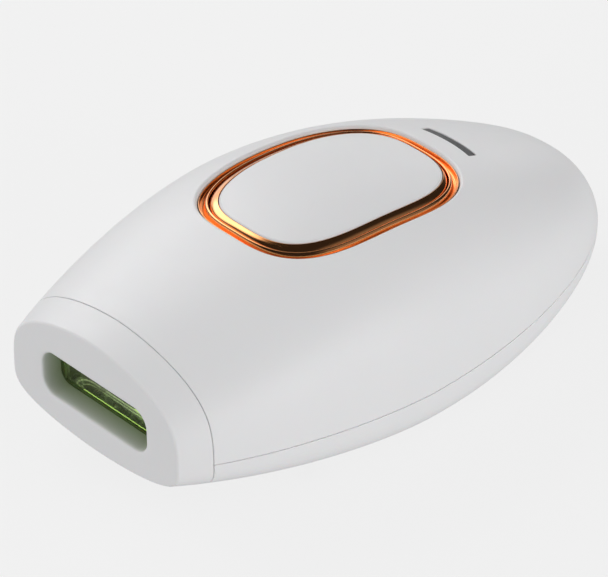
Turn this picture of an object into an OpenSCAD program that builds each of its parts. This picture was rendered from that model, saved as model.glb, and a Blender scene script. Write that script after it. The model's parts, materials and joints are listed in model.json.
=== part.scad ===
// IPL hair remover: a hand-held flash unit with a plug-in lamp head, one node for each piece.
// +X points to the light window, +Y to the user's left, +Z up. The origin is on the resting
// plane, under the middle of the body's length. Units are millimetres.

/* [Body] */
// Overall length, tail to light window
body_l = 150; // [148:0.5:153]
// Widest overall width
body_w = 84.2; // [83:0.2:88]
// Height of the crown above the resting plane
body_h = 49.9; // [49.4:0.1:51]
// Wall thickness of the case
wall = 2; // [1.6:0.1:2.2]
// Gap of the visible joint lines
joint_gap = 0.2; // [0.1:0.05:0.3]

/* [Lamp head] */
// How much of the head stands in front of the case
head_l = 8.2; // [7.6:0.1:9]
// Width of the light window at the face
window_w = 35.9; // [34:0.1:38]
// Height of the light window at the face
window_h = 11.7; // [10.5:0.1:12.5]
// Height of the window's centre above the resting plane
window_z = 21.2; // [20.6:0.1:21.8]
// Running gap around the plug-in lamp holder
plug_gap = 0.3; // [0.2:0.05:0.4]
// Outside diameter of the quartz flash tube
tube_d = 5; // [4:0.1:5.4]

/* [Flash button] */
// Length of the opening that holds the gold surround
surround_l = 61.9; // [60:0.1:62.5]
// Width of the opening that holds the gold surround
surround_w = 44.6; // [43:0.1:45]
// Width of the gold trim between the case and the button cap
gold_w = 3.8; // [3.4:0.1:4.2]
// Travel of the button
button_travel = 0.6; // [0.4:0.05:0.8]

/* [Power inlet] */
// Diameter of the inlet's centre pin
inlet_pin_d = 2; // [1.9:0.05:2.1]
// Diameter of the inlet's barrel bore
inlet_bore_d = 6.3; // [5.8:0.1:6.4]

/* [Fan] */
// Side of the square fan frame
fan_size = 25; // [24:0.5:25.5]
// Number of blades
fan_blades = 7; // [5:1:9]

/* [Hidden] */
$fn = 48;
tail_x = -body_l / 2;
face_x = body_l / 2;
half_w = body_w / 2;
case_x = face_x - head_l;         // where the case ends and the lamp head starts
widest_x = 10.4 * body_l / 150;   // station of the widest section
tail_run = widest_x - tail_x;
nose_run = 91.6 * body_l / 150;
crown_h = body_h - 12.95;         // rise of the crown over the parting line at mid length
tail_steps = 15;                  // lofting stations from the widest section to the tail
nose_steps = 9;                   // lofting stations from the widest section to the nose
arc_steps = 24;                   // points over half a section
fit_gap = 0.15;                   // assembly clearance between fixed pieces

board_z = 10;                     // top face of the main board
board_t = 1.6;
surround_x = 2.3;                 // centre of the gold surround
button_x = 1.6;                   // centre of the button cap
rim_p = 2.95;                     // superellipse exponent of the button outlines
rim_steps = 56;
cap_sink = 1.3;                   // how far the button lies under the crown surface
cap_t = 2;
cap_a = surround_l / 2 - gold_w + 0.25;
cap_b = surround_w / 2 - gold_w - 0.65;
tray_z = 34.5;                    // top face of the button tray's floor
tray_t = 1.5;
tray_holes = [for (sx = [-1, 1], sy = [-1, 1]) [surround_x + sx * (surround_l / 2 + 3.2), sy * 6]];
guide_xs = [button_x - 15, button_x + 15];
guide_r = 1.5;
guide_play = 0.06;
guide_h = 4.5;
spring_r = 3.6;
carrier_sink = cap_sink + cap_t + 0.05;
carrier_t = 1.2;
switch_h = 3.4;
plunger_d = 3.4;
slot_x = -37;                     // indicator slot: centre, half length, width, bend
slot_half = 8.2;
slot_w = 2.5;
slot_bend = 0.012;
indicator_board_z = 31;
indicator_holes = [for (s = [-1, 1]) [slot_x - 4.6, s * 8.4]];
inlet_z = 17.5;                   // axis height of the power inlet
inlet_x = -70.8;                  // outer face of the inlet
inlet_size = [13, 9, 9.6];
inlet_depth = 9.6;
pin_l = 8.4;                      // free length of the inlet pin; its neck goes through the housing
pin_neck_d = inlet_pin_d - 0.4;
holder = [24, 46, 20];            // lamp holder that plugs into the case
holder_t = 1.6;
socket_t = 1.5;
socket_low = window_z - holder[2] / 2 - plug_gap - socket_t;
contact_r = 1;
contact_y = [-14, 0, 14];
glass_x = 70.2;                   // front face of the filter glass
throat = [34.2, 10];              // clear opening in front of the filter glass
glass = [1.5, 37.4, 14.2];
glass_frame = [35.6, 12.8];       // opening of the gasket and the clip, round the reflector's mouth
holder_front = glass_x - 2.25;
holder_back = holder_front - holder[0];
socket_back = holder_back - plug_gap - socket_t - 0.7;
tube_x = 64.2;
tube_l = 38;
fan_x = 29;                       // centre of the fan
fan_z = 20;
fan_t = 8;
fan_bore = fan_size / 2 - 1;
shaft_d = 1.6;
case_screws = [[-58, 14], [-58, -14], [38, 31], [38, -31]];
case_screw_r = 1.25;
board_screws = [[-44, 15], [-44, -15], [15.4, 18], [15.4, -18]];
socket_lugs = [[54, 27], [54, -27]];
capacitor_d = 22;
capacitor_l = 42;
capacitor_at = [-8.2, -14.5, board_z + 0.3 + capacitor_d / 2];
transformer_at = [-14, 12.5, board_z];

// ---- The body's surface, as formulas of the station x ----

function u(x) = x / face_x;
function clamp01(v) = max(0, min(1, v));
function tail_part(x) = clamp01((widest_x - x) / tail_run);
function nose_part(x) = clamp01((x - widest_x) / nose_run);

// A surface set in by t is the same form on a shorter run, so its station is stretched back out.
function outer_x(x, t) = x < widest_x ? widest_x - (widest_x - x) * tail_run / (tail_run - t) : x;

// Half width in plan
function plan_raw(x) = x < widest_x
    ? half_w * pow(1 - pow(tail_part(x), 1.85), 1 / 2.49)
    : half_w * pow(1 - pow(nose_part(x), 1.57), 1 / 2.19);
function plan(x, t = 0) = plan_raw(outer_x(x, t)) * (1 - t / half_w);

// Height of the parting line between the two halves of the case
function seam_z(x) = 12.6 + 1.07 * u(x) + 3.76 * pow(u(x), 2);

// Rise of the crown over the parting line
function crown_raw(x) = (crown_h + 5.05 * u(x) - 26.26 * pow(u(x), 2) + 4.2 * pow(u(x), 4))
    * sqrt(1 - pow(tail_part(x), 21.5));
function crown(x, t = 0) = crown_raw(outer_x(x, t)) * (1 - t / crown_h);

// Depth of the belly under the parting line
belly_h = 13.54;
function belly_raw(x) = (belly_h + 0.86 * u(x) - 4.45 * pow(u(x), 2))
    * sqrt(1 - pow(tail_part(x), 3));
function belly(x, t = 0) = belly_raw(outer_x(x, t)) * (1 - t / belly_h);

// Superellipse exponents of the upper and the lower half of a section
function up_m(x) = 2.36 - 0.284 * u(x) - 0.443 * pow(u(x), 2);
function up_k(x) = 2.94 + 0.884 * u(x) - 0.413 * pow(u(x), 2);
function low_m(x) = max(1.8, min(5.5, 5.06 - 3.26 * u(x)));
low_k = 3.36;

// Height of the crown surface over any point in plan
function top_z(x, y) = seam_z(x)
    + crown(x) * pow(max(0, 1 - pow(min(1, abs(y) / plan(x)), up_m(x))), 1 / up_k(x));

function root(v, e) = sign(v) * pow(abs(v), 2 / e);

// One point of a section: a from 0 to 180 runs over the crown, 180 to 360 under the belly
function section_point(x, a, t = 0) = a <= 180
    ? [x, plan(x, t) * root(cos(a), up_m(x)), seam_z(x) + crown(x, t) * root(max(0, sin(a)), up_k(x))]
    : [x, plan(x, t) * root(cos(a), low_m(x)), seam_z(x) - belly(x, t) * root(-sin(a), low_k)];

// Stations from the tail, where they crowd together, to a nose end
function stations(t, nose_end) = concat(
    [for (i = [0 : tail_steps - 1]) widest_x - (tail_run - t) * sin(89 - i * 89 / tail_steps)],
    [for (i = [0 : nose_steps]) widest_x + (nose_end - widest_x) * i / nose_steps]);

// ---- Skinning ----

// A closed solid through a list of rings; loop joins the last ring to the first
module loft(rings, loop = false) {
    n = len(rings);
    m = len(rings[0]);
    spans = loop ? n : n - 1;
    sides = [for (i = [0 : spans - 1], j = [0 : m - 1], k = [0, 1])
        let (a = i * m + j, b = i * m + (j + 1) % m,
             c = ((i + 1) % n) * m + (j + 1) % m, d = ((i + 1) % n) * m + j)
        k == 0 ? [a, c, b] : [a, d, c]];
    caps = loop ? [] : [[for (j = [0 : m - 1]) j], [for (j = [0 : m - 1]) n * m - 1 - j]];
    polyhedron(points = [for (r = rings) for (p = r) p], faces = concat(sides, caps), convexity = 6);
}

// Half of the body as a solid: the upper half (first angle 0) or the lower half (180).
// A skirt carries a cavity's mouth straight past the parting line.
module half_body(first, t, nose_end, lift = 0, skirt = 0) {
    side = first == 0 ? 1 : -1;
    loft([for (x = stations(t, nose_end)) concat(
        [for (j = [0 : arc_steps]) section_point(x, first + j * 180 / arc_steps, t) + [0, 0, lift]],
        skirt > 0 ? [for (s = [-side, side]) [x, s * plan(x, t), seam_z(x) - side * skirt]] : [])]);
}

// A point of a superellipse outline on the crown, set in and sunk under the surface
function rim_point(cx, a, b, ang, sink) =
    let (x = cx + a * root(cos(ang), rim_p), y = b * root(sin(ang), rim_p)) [x, y, top_z(x, y) - sink];
function rim(cx, a, b, sink) = [for (j = [0 : rim_steps - 1]) rim_point(cx, a, b, -j * 360 / rim_steps, sink)];

module rim_prism(cx, a, b, z0, z1) {
    translate([0, 0, z0]) linear_extrude(z1 - z0)
        polygon([for (j = [0 : rim_steps - 1])
            let (ang = j * 360 / rim_steps) [cx + a * root(cos(ang), rim_p), b * root(sin(ang), rim_p)]]);
}

// A rounded bar along the curved indicator slot, between two depths under the crown
module slot_bar(half, w, top_sink, z_low) {
    n = 12;
    loft([for (i = [0 : n])
        let (y = -half + 2 * half * i / n, x = slot_x + slot_bend * y * y, z = top_z(x, y) - top_sink)
        [[x - w / 2, y, z], [x + w / 2, y, z + w / 2 * 0.28], [x + w / 2, y, z_low], [x - w / 2, y, z_low]]]);
}

// A wire or coil through computed points
function along(p, i) = let (a = p[max(0, i - 1)], b = p[min(len(p) - 1, i + 1)]) (b - a) / norm(b - a);
module wire(p, r, sides = 6) {
    loft([for (i = [0 : len(p) - 1])
        let (t = along(p, i), s0 = cross(t, abs(t[2]) < 0.9 ? [0, 0, 1] : [1, 0, 0]),
             s = s0 / norm(s0), v = cross(t, s))
        [for (j = [0 : sides - 1]) p[i] + r * (cos(-j * 360 / sides) * s + sin(-j * 360 / sides) * v)]]);
}

// A smooth wire path: a cubic from a to b that leaves and arrives along the two handles
function wire_path(a, ha, b, hb, n = 10) = [for (i = [0 : n]) let (t = i / n, s = 1 - t)
    s * s * s * a + 3 * s * s * t * (a + ha) + 3 * s * t * t * (b + hb) + t * t * t * b];

module rounded_box(size, r) {
    // centred in x and y, standing on z = 0
    hull() for (sx = [-1, 1], sy = [-1, 1])
        translate([sx * (size[0] / 2 - r), sy * (size[1] / 2 - r), 0]) cylinder(r = r, h = size[2], $fn = 24);
}

// A slab facing +X with rounded corners; w is along Y, h along Z
module window_slab(x0, x1, w, h, r) {
    translate([x0, 0, window_z]) rotate([0, 90, 0]) rounded_box([h, w, x1 - x0], r);
}

// A round-ended slot through a wall, along X
module grille_slot(x, y, l, w) {
    hull() for (s = [-1, 1])
        translate([x + s * (l - w) / 2, y, -1]) cylinder(d = w, h = 6, $fn = 12);
}

module screw(l, r = 1.25, head_r = 2.3, head_h = 1.5) {
    // head's bearing face at z = 0, shank upward
    cylinder(r = r, h = l, $fn = 32);
    difference() {
        translate([0, 0, -head_h]) cylinder(r = head_r, h = head_h, $fn = 32);
        translate([0, 0, -head_h - 0.1]) for (a = [0, 90]) rotate([0, 0, a])
            translate([-head_r * 0.6, -0.3, 0]) cube([head_r * 1.2, 0.6, 0.8]);
    }
}

// ---- Case ----

module top_shell() {
    color([0.93, 0.93, 0.94]) difference() {
        union() {
            difference() {
                half_body(0, 0, case_x, joint_gap / 2);
                half_body(0, wall, case_x + 1, skirt = 1);
                translate([case_x - 0.01, -50, 0]) cube([5, 100, 60]);
            }
            intersection() {
                half_body(0, wall / 2, case_x - 1, joint_gap / 2);
                for (p = case_screws) top_post(p);
                hanging_posts();
            }
        }
        rim_prism(surround_x, surround_l / 2, surround_w / 2, 30, 60);
        translate([0, 0, 1]) slot_bar(slot_half, slot_w, -3, 33);
        inlet_opening();
    }
}

// A screw post that hangs from the crown, with two gussets
module top_post(p) {
    difference() {
        union() {
            translate([p[0], p[1], seam_z(p[0]) + 1]) cylinder(r = 3, h = 40, $fn = 32);
            for (a = [0, 180]) translate([p[0], p[1], 0]) rotate([0, 0, a]) hull() {
                translate([0, -0.6, seam_z(p[0]) + 8]) cube([3, 1.2, 30]);
                translate([5, -0.6, seam_z(p[0]) + 16]) cube([1, 1.2, 22]);
            }
        }
        translate([p[0], p[1], 0]) cylinder(r = case_screw_r + 0.05, h = seam_z(p[0]) + 11, $fn = 32);
    }
}

// Posts that carry the button tray and the indicator board
module hanging_posts() {
    for (p = tray_holes) translate([p[0], p[1], tray_z + 0.05]) hanging_post();
    for (p = indicator_holes) translate([p[0], p[1], indicator_board_z]) hanging_post();
}
module hanging_post() {
    difference() {
        cylinder(r = 2.1, h = 30, $fn = 24);
        translate([0, 0, -1]) cylinder(r = 1.06, h = 5, $fn = 24);
    }
}

module inlet_opening() {
    translate([tail_x - 5, 0, inlet_z]) rotate([0, 90, 0])
        cylinder(d = inlet_bore_d + 1.7, h = inlet_x - tail_x + 4.9);
    translate([inlet_x - fit_gap, -inlet_size[1] / 2 - fit_gap, inlet_z - inlet_size[2] / 2 - fit_gap])
        cube([inlet_size[0] + 2 * fit_gap, inlet_size[1] + 2 * fit_gap, inlet_size[2] + 2 * fit_gap]);
}

module bottom_shell() {
    color([0.92, 0.92, 0.93]) difference() {
        union() {
            difference() {
                lower_solid(0, case_x, -joint_gap / 2);
                intersection() {
                    half_body(180, wall, case_x + 1, skirt = 1);
                    translate([-80, -60, wall]) cube([160, 120, 40]);
                }
                translate([case_x - 0.01, -50, -1]) cube([5, 100, 60]);
            }
            intersection() {
                lower_solid(wall / 2, case_x - 1, 0);
                bottom_posts();
            }
            seam_lip();
        }
        for (p = concat(socket_lugs, board_screws))
            translate([p[0], p[1], belly_z(p[0], p[1]) + wall + 0.5]) cylinder(r = 1.1, h = 20, $fn = 16);
        for (p = case_screws) {
            translate([p[0], p[1], -5]) cylinder(r = case_screw_r + 0.2, h = 30, $fn = 24);
            translate([p[0], p[1], -5]) cylinder(r = 2.6, h = 5 + screw_seat(p), $fn = 24);
        }
        for (i = [-4 : 4]) grille_slot(29 - abs(i) * 0.7, i * 4, 17 - abs(i) * 1.2, 1.6);
        for (i = [-3 : 3]) grille_slot(-24, i * 4, 15 - abs(i) * 1.2, 1.6);
        inlet_opening();
    }
}

// The case screws' heads sit this high inside their counterbores
function screw_seat(p) = belly_z(p[0], p[1]) + 3;
function belly_z(x, y) = max(0, seam_z(x)
    - belly(x) * pow(max(0, 1 - pow(min(1, abs(y) / plan(x)), low_m(x))), 1 / low_k));

module lower_solid(t, nose_end, lift) {
    intersection() {
        half_body(180, t, nose_end, lift);
        translate([-80, -60, 0]) cube([160, 120, 40]);
    }
}

module bottom_posts() {
    for (p = case_screws) translate([p[0], p[1], 0]) cylinder(r = 3.4, h = seam_z(p[0]) - 0.2, $fn = 24);
    for (p = board_screws) translate([p[0], p[1], 0]) cylinder(r = 2.4, h = board_z - board_t, $fn = 24);
    for (p = socket_lugs) translate([p[0], p[1], 0]) cylinder(r = 2.4, h = socket_low - 0.05, $fn = 24);
    for (s = [-1, 1]) translate([fan_x - 3, s * 10 - 0.9, 0]) cube([6, 1.8, fan_z - fan_size / 2 - 0.05]);
}

// A lip inside the parting line that centres the top half
module seam_lip() {
    side = [for (x = stations(wall, case_x - 3)) if (plan(x, wall) > 14) x];
    for (s = [0, 1]) mirror([0, s, 0]) loft([for (x = side)
        let (y = plan(x, wall), z = seam_z(x))
        [for (q = [[0.7, -2.6], [0.7, -0.6], [-0.15, -0.6], [-0.15, 1.1], [-1.15, 1.1], [-1.15, -2.6]])
            [x, y + q[0], z + q[1]]]]);
}

// ---- Flash button and its surround ----

// The fixed gold surround: a low flange inside the crown's opening that rises to a bead
module surround_ring() {
    a = surround_l / 2 - fit_gap;
    b = surround_w / 2 - fit_gap;
    color([0.86, 0.52, 0.32]) loft([for (q = [[0, 2.5], [0.6, 2.42], [1.05, 1.9], [1.4, 1.25], [1.72, 1.08],
            [1.94, 1.22], [2.05, 1.5], [2.05, 5], [0, 5]])
        rim(surround_x, a - q[0], b - q[0], q[1])], loop = true);
}

// The gold skirt round the cap, from its outer edge (t = 0) to the cap (t = 1)
module button_skirt() {
    color([0.80, 0.45, 0.25]) loft([for (q = [[0, 1.9], [0.12, 1.5], [1, cap_sink - 0.1], [1, 4.6], [0, 4.6]])
        skirt_line(q[0], q[1])], loop = true);
}
function skirt_line(t, sink) =
    let (a = surround_l / 2 - fit_gap - 2.3, b = surround_w / 2 - fit_gap - 2.3)
    rim(surround_x + t * (button_x - surround_x), a + t * (cap_a + fit_gap - a), b + t * (cap_b + fit_gap - b), sink);

module button_cap() {
    tops = [0.04, 0.3, 0.55, 0.75, 0.9, 0.965];
    color([0.94, 0.94, 0.95]) loft(concat(
        [for (q = tops) rim(button_x, cap_a * q, cap_b * q, cap_sink - 0.35)],
        [rim(button_x, cap_a - 0.25, cap_b - 0.25, cap_sink - 0.1), rim(button_x, cap_a, cap_b, cap_sink + 0.25),
         rim(button_x, cap_a, cap_b, cap_sink + cap_t)],
        [for (q = [0.9, 0.55, 0.04]) rim(button_x, cap_a * q, cap_b * q, cap_sink + cap_t)]));
}

// Black carrier under the cap: a dished plate with the switch stem and two guide pins
module button_carrier() {
    stem_z = tray_z + switch_board_t + switch_h + 1.35;
    color([0.15, 0.15, 0.16]) {
        loft(concat([for (q = [0.04, 0.6, 1]) rim(button_x, (cap_a - 1) * q, (cap_b - 1) * q, carrier_sink)],
            [for (q = [1, 0.6, 0.04]) rim(button_x, (cap_a - 1) * q, (cap_b - 1) * q, carrier_sink + carrier_t)]));
        translate([button_x, 0, stem_z]) cylinder(r = 3, h = top_z(button_x, 0) - carrier_sink - 0.6 - stem_z);
        for (x = guide_xs) translate([x, 0, tray_z + 1])
            cylinder(r = guide_r, h = top_z(x, 0) - carrier_sink - 0.6 - tray_z - 1);
    }
}

// Fixed tray that hangs from the crown under the button and carries the switch
module button_tray() {
    color([0.2, 0.2, 0.22]) difference() {
        union() {
            translate([surround_x, 0, tray_z - tray_t]) rounded_box([surround_l + 11.5, 20, tray_t], 4);
            for (x = guide_xs) translate([x, 0, tray_z - 0.5]) cylinder(r = guide_r + 1.2, h = guide_h + 0.5);
        }
        for (p = tray_holes) translate([p[0], p[1], tray_z - 5]) cylinder(r = 1.1, h = 10);
        for (x = guide_xs) translate([x, 0, tray_z - 5]) cylinder(r = guide_r + guide_play, h = 20);
    }
}

// Two return springs around the tray's guides
module button_springs() {
    turns = 5;
    steps = 13;
    low = tray_z + 0.45;
    color([0.75, 0.75, 0.78]) for (x = guide_xs)
        wire([for (i = [0 : turns * steps]) [x + spring_r * cos(i * 360 / steps), spring_r * sin(i * 360 / steps),
            low + (spring_top(x) - low) * i / (turns * steps)]], 0.3, 5);
}
function spring_top(x) = top_z(x, 0) - carrier_sink - carrier_t - 0.9;

module tray_screws() {
    color([0.7, 0.7, 0.72]) {
        for (p = tray_holes) translate([p[0], p[1], tray_z - tray_t - 0.05]) screw(5, 1, 1.9, 1.2);
        for (p = indicator_holes) translate([p[0], p[1], indicator_board_z - 1.25]) screw(5, 1, 1.9, 1.2);
    }
}

switch_board_t = 1;
module switch_board() {
    color([0.1, 0.35, 0.2]) translate([button_x, 0, tray_z + 0.05]) rounded_box([21.4, 15, switch_board_t - 0.1], 2);
}

module switch_body() {
    z = tray_z + switch_board_t;
    color([0.12, 0.12, 0.13]) difference() {
        translate([button_x - 3, -3, z]) cube([6, 6, switch_h]);
        translate([button_x, 0, z + 1.2]) cylinder(d = plunger_d + 0.1, h = switch_h);
    }
}

module switch_plunger() {
    z = tray_z + switch_board_t;
    color([0.9, 0.55, 0.2]) translate([button_x, 0, z + 1.3 + button_travel])
        cylinder(d = plunger_d, h = switch_h - button_travel);
}

// ---- Indicator ----

module indicator_window() {
    color([0.25, 0.28, 0.28]) slot_bar(slot_half - fit_gap, slot_w - 2 * fit_gap, 0.25, 38.2);
}

module light_pipe() {
    color([0.85, 0.9, 0.92, 0.6]) {
        slot_bar(slot_half - 0.4, slot_w - 0.6, 5.2, 33.4);
        for (s = [-1, 1]) translate([slot_x + 0.1, s * (slot_half - 0.9) - 0.4, indicator_board_z + 0.05])
            cube([1.2, 0.8, 3.2]);
    }
}

module indicator_board() {
    color([0.1, 0.35, 0.2]) difference() {
        translate([slot_x - 1.6, 0, indicator_board_z - 1.2]) rounded_box([11, 22, 1.1], 1.5);
        for (p = indicator_holes) translate([p[0], p[1], indicator_board_z - 3]) cylinder(r = 1.1, h = 5);
    }
}

module indicator_leds() {
    color([0.95, 0.95, 0.85]) for (i = [-2 : 2])
        translate([slot_x + slot_bend * 8 * i * i - 0.8, i * 2.8 - 1, indicator_board_z - 0.05]) cube([1.6, 2, 0.9]);
}

// ---- Electronics ----

module main_board() {
    color([0.08, 0.32, 0.18]) difference() {
        translate([-17.5, 0, board_z - board_t]) rounded_box([71, 44, board_t - 0.1], 5);
        for (p = board_screws) translate([p[0], p[1], board_z - 5]) cylinder(r = 1.3, h = 10);
    }
}

module flash_capacitor() {
    at = capacitor_at;
    color([0.16, 0.2, 0.36]) translate(at) rotate([0, 90, 0]) rotate_extrude() polygon([
        [0, -capacitor_l / 2], [capacitor_d / 2 - 1, -capacitor_l / 2], [capacitor_d / 2, 1 - capacitor_l / 2],
        [capacitor_d / 2, capacitor_l / 2 - 5], [capacitor_d / 2 - 0.8, capacitor_l / 2 - 4],
        [capacitor_d / 2, capacitor_l / 2 - 3], [capacitor_d / 2, capacitor_l / 2 - 0.6],
        [capacitor_d / 2 - 0.8, capacitor_l / 2], [0, capacitor_l / 2]]);
}

module capacitor_cradle() {
    at = capacitor_at;
    color([0.2, 0.2, 0.22]) difference() {
        for (s = [-1, 1]) translate([at[0] + s * 12 - 2, at[1] - 8, board_z]) cube([4, 16, 6]);
        translate([at[0] - 30, at[1], at[2]]) rotate([0, 90, 0]) cylinder(d = capacitor_d + 0.2, h = 60);
    }
}

module transformer_core() {
    color([0.18, 0.18, 0.19]) translate(transformer_at) difference() {
        translate([-9, -7, 2]) cube([18, 14, 15]);
        for (s = [-1, 1]) translate([s * 4.6 - 2, -8, 4.5]) cube([4, 16, 10]);
    }
}

module transformer_winding() {
    color([0.85, 0.65, 0.2]) translate(transformer_at) {
        difference() {
            translate([-6.4, -8.8, 4.8]) cube([12.8, 17.6, 9.4]);
            translate([-2.75, -7.2, 2]) cube([5.5, 14.4, 15]);
        }
        for (sx = [-1, 1], sy = [-1, 1]) translate([sx * 4.4, sy * 8, 0.05]) cylinder(r = 0.4, h = 5);
    }
}

module trigger_coil() {
    color([0.55, 0.12, 0.1]) translate([11, 9, board_z + 0.05]) rotate_extrude() polygon([
        [0, 0], [4.2, 0], [4.2, 1], [3.4, 1.2], [3.4, 11], [4.2, 11.2], [4.2, 12.4], [0, 12.4]]);
}

module power_transistor() {
    color([0.1, 0.1, 0.11]) translate([-38, 3, board_z + 4]) {
        translate([0, -5, 0]) cube([4.4, 10, 9]);
        for (i = [-1 : 1]) translate([2, i * 2.54, -3.95]) cylinder(r = 0.45, h = 4);
    }
}

module heat_sink() {
    color([0.75, 0.76, 0.78]) translate([-39.6, 3, board_z + 0.1]) {
        translate([0, -9, 0]) cube([1.5, 18, 17]);
        for (i = [0 : 5]) translate([-5.5, -9 + i * 3.3, 0]) cube([5.6, 1.2, 17]);
    }
}

module control_chips() {
    color([0.07, 0.07, 0.08]) {
        translate([-2, 14.5, board_z]) cube([8, 6, 1.6]);
        translate([-51, -13, board_z]) cube([5, 6, 1.6]);
        translate([-30, -6, board_z]) cube([9, 5, 1.8]);
    }
}

// ---- Cooling fan ----

module fan_frame() {
    color([0.13, 0.13, 0.14]) difference() {
        union() {
            difference() {
                translate([fan_x - fan_t / 2, -fan_size / 2, fan_z - fan_size / 2]) cube([fan_t, fan_size, fan_size]);
                translate([fan_x - 10, 0, fan_z]) rotate([0, 90, 0]) cylinder(r = fan_bore, h = 20);
            }
            translate([fan_x - fan_t / 2, 0, fan_z]) rotate([0, 90, 0]) cylinder(r = 5.5, h = 1.5);
            for (a = [45 : 90 : 315]) translate([fan_x - fan_t / 2, 0, fan_z]) rotate([a, 0, 0])
                translate([0, -0.7, 3]) cube([1.5, 1.4, fan_bore - 2.5]);
            translate([fan_x - fan_t / 2, 0, fan_z]) rotate([0, 90, 0]) cylinder(r = 2, h = 3.6);
        }
        translate([fan_x - fan_t / 2 + 1, 0, fan_z]) rotate([0, 90, 0]) cylinder(d = shaft_d + 0.1, h = 10);
        fan_holes(1.3, 20);
    }
}
function fan_corners() = [for (sy = [-1, 1], sz = [-1, 1]) [sy * (fan_size / 2 - 3), fan_z + sz * (fan_size / 2 - 3)]];
module fan_holes(r, l) {
    for (c = fan_corners()) translate([fan_x - l / 2, c[0], c[1]]) rotate([0, 90, 0]) cylinder(r = r, h = l);
}

module fan_rotor() {
    hub_x = fan_x - fan_t / 2 + 2.1;
    color([0.25, 0.26, 0.28]) {
        difference() {
            translate([hub_x, 0, fan_z]) rotate([0, 90, 0]) cylinder(r = 5.6, h = 5.4);
            translate([hub_x - 0.5, 0, fan_z]) rotate([0, 90, 0]) cylinder(r = 4.6, h = 4.4);
        }
        translate([hub_x - 0.8, 0, fan_z]) rotate([0, 90, 0]) cylinder(d = shaft_d, h = 5.4);
        for (i = [0 : fan_blades - 1]) translate([hub_x + 2.7, 0, fan_z]) rotate([i * 360 / fan_blades, 0, 0])
            translate([0, 0, 5.3]) rotate([0, 0, 38]) translate([-0.4, -3, 0]) cube([0.8, 6, fan_bore - 6.1]);
    }
}

module fan_screws() {
    color([0.7, 0.7, 0.72]) for (c = fan_corners())
        translate([fan_x - fan_t / 2 - 0.05, c[0], c[1]]) rotate([0, 90, 0]) screw(fan_t + 2.6, 1.1, 2.1, 1.3);
}

// ---- Power inlet ----

module inlet_housing() {
    color([0.08, 0.08, 0.09]) difference() {
        translate([inlet_x, -inlet_size[1] / 2, inlet_z - inlet_size[2] / 2]) cube(inlet_size);
        translate([inlet_x - 1, 0, inlet_z]) rotate([0, 90, 0]) cylinder(d = inlet_bore_d, h = inlet_depth + 1);
        translate([inlet_x + 1, 0, inlet_z]) rotate([0, 90, 0]) cylinder(d = pin_neck_d + 0.04, h = 20);
        translate([inlet_x + 2.4, -1.6, inlet_z - inlet_size[2] / 2 - 1]) cube([7, 3.2, 3.4]);
    }
}

module inlet_pin() {
    color([0.85, 0.7, 0.35]) translate([inlet_x + 0.6, 0, inlet_z]) rotate([0, 90, 0]) {
        cylinder(d = inlet_pin_d, h = pin_l);
        translate([0, 0, pin_l - 0.1]) cylinder(d = pin_neck_d, h = inlet_size[0] + 1.5 - pin_l);
    }
}

module inlet_spring() {
    z = inlet_z - inlet_size[2] / 2;
    color([0.8, 0.8, 0.75]) {
        translate([inlet_x + 2.8, -1.3, z + 0.2]) cube([6, 2.6, 0.5]);
        translate([inlet_x + 7.8, -1.3, z - 1.2]) cube([1, 2.6, 1.6]);
    }
}

// ---- Socket for the lamp head ----

module head_socket() {
    inner = [holder[1] + 2 * plug_gap, holder[2] + 2 * plug_gap];
    x0 = socket_back;
    color([0.22, 0.22, 0.24]) difference() {
        union() {
            translate([x0, -inner[0] / 2 - socket_t, window_z - inner[1] / 2 - socket_t])
                cube([case_x - 6 - x0, inner[0] + 2 * socket_t, inner[1] + 2 * socket_t]);
            translate([socket_lugs[0][0] - 4, -socket_lugs[0][1] - 3, socket_low]) cube([7, 2 * socket_lugs[0][1] + 6, 2]);
        }
        translate([x0 + socket_t, -inner[0] / 2, window_z - inner[1] / 2]) cube([60, inner[0], inner[1]]);
        for (y = contact_y) translate([x0 - 1, y, window_z]) rotate([0, 90, 0]) cylinder(r = contact_r + 0.8, h = 6);
        for (p = socket_lugs) translate([p[0], p[1], 0]) cylinder(r = 1.2, h = 20);
        for (sy = [-7, 7], sz = [-6, 6]) translate([x0 - 1, sy - 4, window_z + sz - 1.5]) cube([6, 8, 3]);
    }
}

module socket_contacts() {
    color([0.85, 0.68, 0.35]) for (y = contact_y) translate([socket_back - 5.5, y, window_z]) rotate([0, 90, 0]) difference() {
        union() {
            cylinder(r = contact_r + 0.7, h = 7);
            translate([0, 0, 4.4]) cylinder(r = contact_r + 1.5, h = 1);
        }
        translate([0, 0, 1]) cylinder(r = contact_r + 0.05, h = 10);
    }
}

module socket_screws() {
    color([0.7, 0.7, 0.72]) for (p = socket_lugs)
        translate([p[0], p[1], socket_low + 2.05]) rotate([180, 0, 0]) screw(3.3, 1.05, 2, 1.3);
}

// ---- Fasteners and leads ----

module case_screws() {
    color([0.7, 0.7, 0.72]) for (p = case_screws)
        translate([p[0], p[1], screw_seat(p) - 0.05]) screw(seam_z(p[0]) + 9 - screw_seat(p));
}

module board_screws() {
    color([0.7, 0.7, 0.72]) for (p = board_screws)
        translate([p[0], p[1], board_z + 0.05]) rotate([180, 0, 0]) screw(3.4, 0.95, 2.1, 1.3);
}

module lamp_leads() {
    x0 = socket_back - 6.2;
    under_fan = [fan_x, 2, 5];
    color([0.75, 0.12, 0.1]) {
        for (s = [-1, 1])
            wire(wire_path([x0, s * 14, window_z], [-2, s * 4, 0], [16, s * 21.3, board_z + 0.9], [4, 0, 8]), 0.7);
        wire(concat(wire_path([x0 - 0.8, 0, window_z], [-0.5, 0.3, -6], under_fan, [4, 0, 0]),
            wire_path(under_fan + [-1, 0, 0], [-3, 0, 0], [17, 9, board_z + 3], [5, 0, -2])), 0.6);
    }
}

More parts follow.
